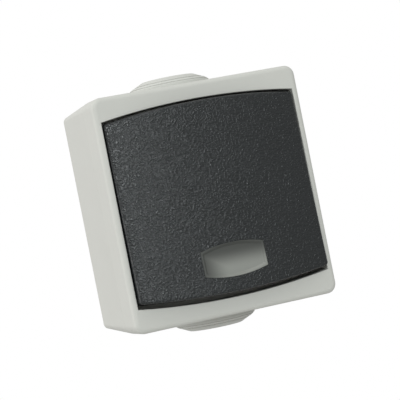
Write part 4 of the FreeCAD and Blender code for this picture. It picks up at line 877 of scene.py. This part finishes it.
def makeFinish(name, f):
    material = bpy.data.materials.new(name)
    material.use_nodes = True
    nodes, links = material.node_tree.nodes, material.node_tree.links
    shader = nodes["Principled BSDF"]
    place = nodes.new("ShaderNodeTexCoord").outputs["Object"]
    tone = nodes.new("ShaderNodeGroup")
    tone.node_tree = toneGroup
    tone.inputs["Scale"].default_value = f["toneScale"]
    tone.inputs["Light Tone"].default_value = (*f["light"], 1)
    tone.inputs["Dark Tone"].default_value = (*f["dark"], 1)
    grain = nodes.new("ShaderNodeGroup")
    grain.node_tree = grainGroup
    for label, value in zip(("Grain Scale", "Coarse Scale", "Coarse Share"), f["grain"]):
        grain.inputs[label].default_value = value
    links.new(place, tone.inputs["Vector"])
    links.new(place, grain.inputs["Vector"])
    roughness = addRange(nodes, after=f["roughness"])
    bump = nodes.new("ShaderNodeBump")
    bump.inputs["Strength"].default_value = f["bump"]
    bump.inputs["Distance"].default_value = f["bumpDistance"]
    colour = tone.outputs["Color"]
    # painted shade on the indicator window
    if "paintedShade" in f:
        colour = addPaintedShade(nodes, links, place, colour, f)
    links.new(colour, shader.inputs["Base Color"])
    links.new(grain.outputs["Specks"], roughness.inputs["Value"])
    links.new(roughness.outputs["Result"], shader.inputs["Roughness"])
    links.new(grain.outputs["Height"], bump.inputs["Height"])
    links.new(bump.outputs["Normal"], shader.inputs["Normal"])
    shader.inputs["Specular IOR Level"].default_value = f["specular"]
    shader.inputs["Metallic"].default_value = f.get("metallic", 0.0)
    shader.inputs["Transmission Weight"].default_value = f.get("transmission", 0.0)
    return material


materials = {slot: makeFinish(slot, finish) for slot, finish in finishes.items()}


def dress(piece, material):
    piece.data.materials.clear()
    piece.data.materials.append(material)


def dressNode(node, material):
    for index in range(len(node.material_slots)):
        node.material_slots[index].link = "OBJECT"
        node.material_slots[index].material = material


slotOf = {entry["node"]: entry["material_slot"] for entry in frame["record"]["subparts"]}
for name, node in frame["nodes"].items():
    dressNode(node, materials[slotOf[name]])
for piece, slot in ((coverFrame, "grey_plastic"), (housingShell, "grey_plastic"),
                    (rocker, "anthracite_plastic"), (indicatorWindow, "lens_plastic"),
                    (topGland, "grey_rubber"), (bottomGland, "grey_rubber")):
    dress(piece, materials[slot])
print("materials made", len(materials))
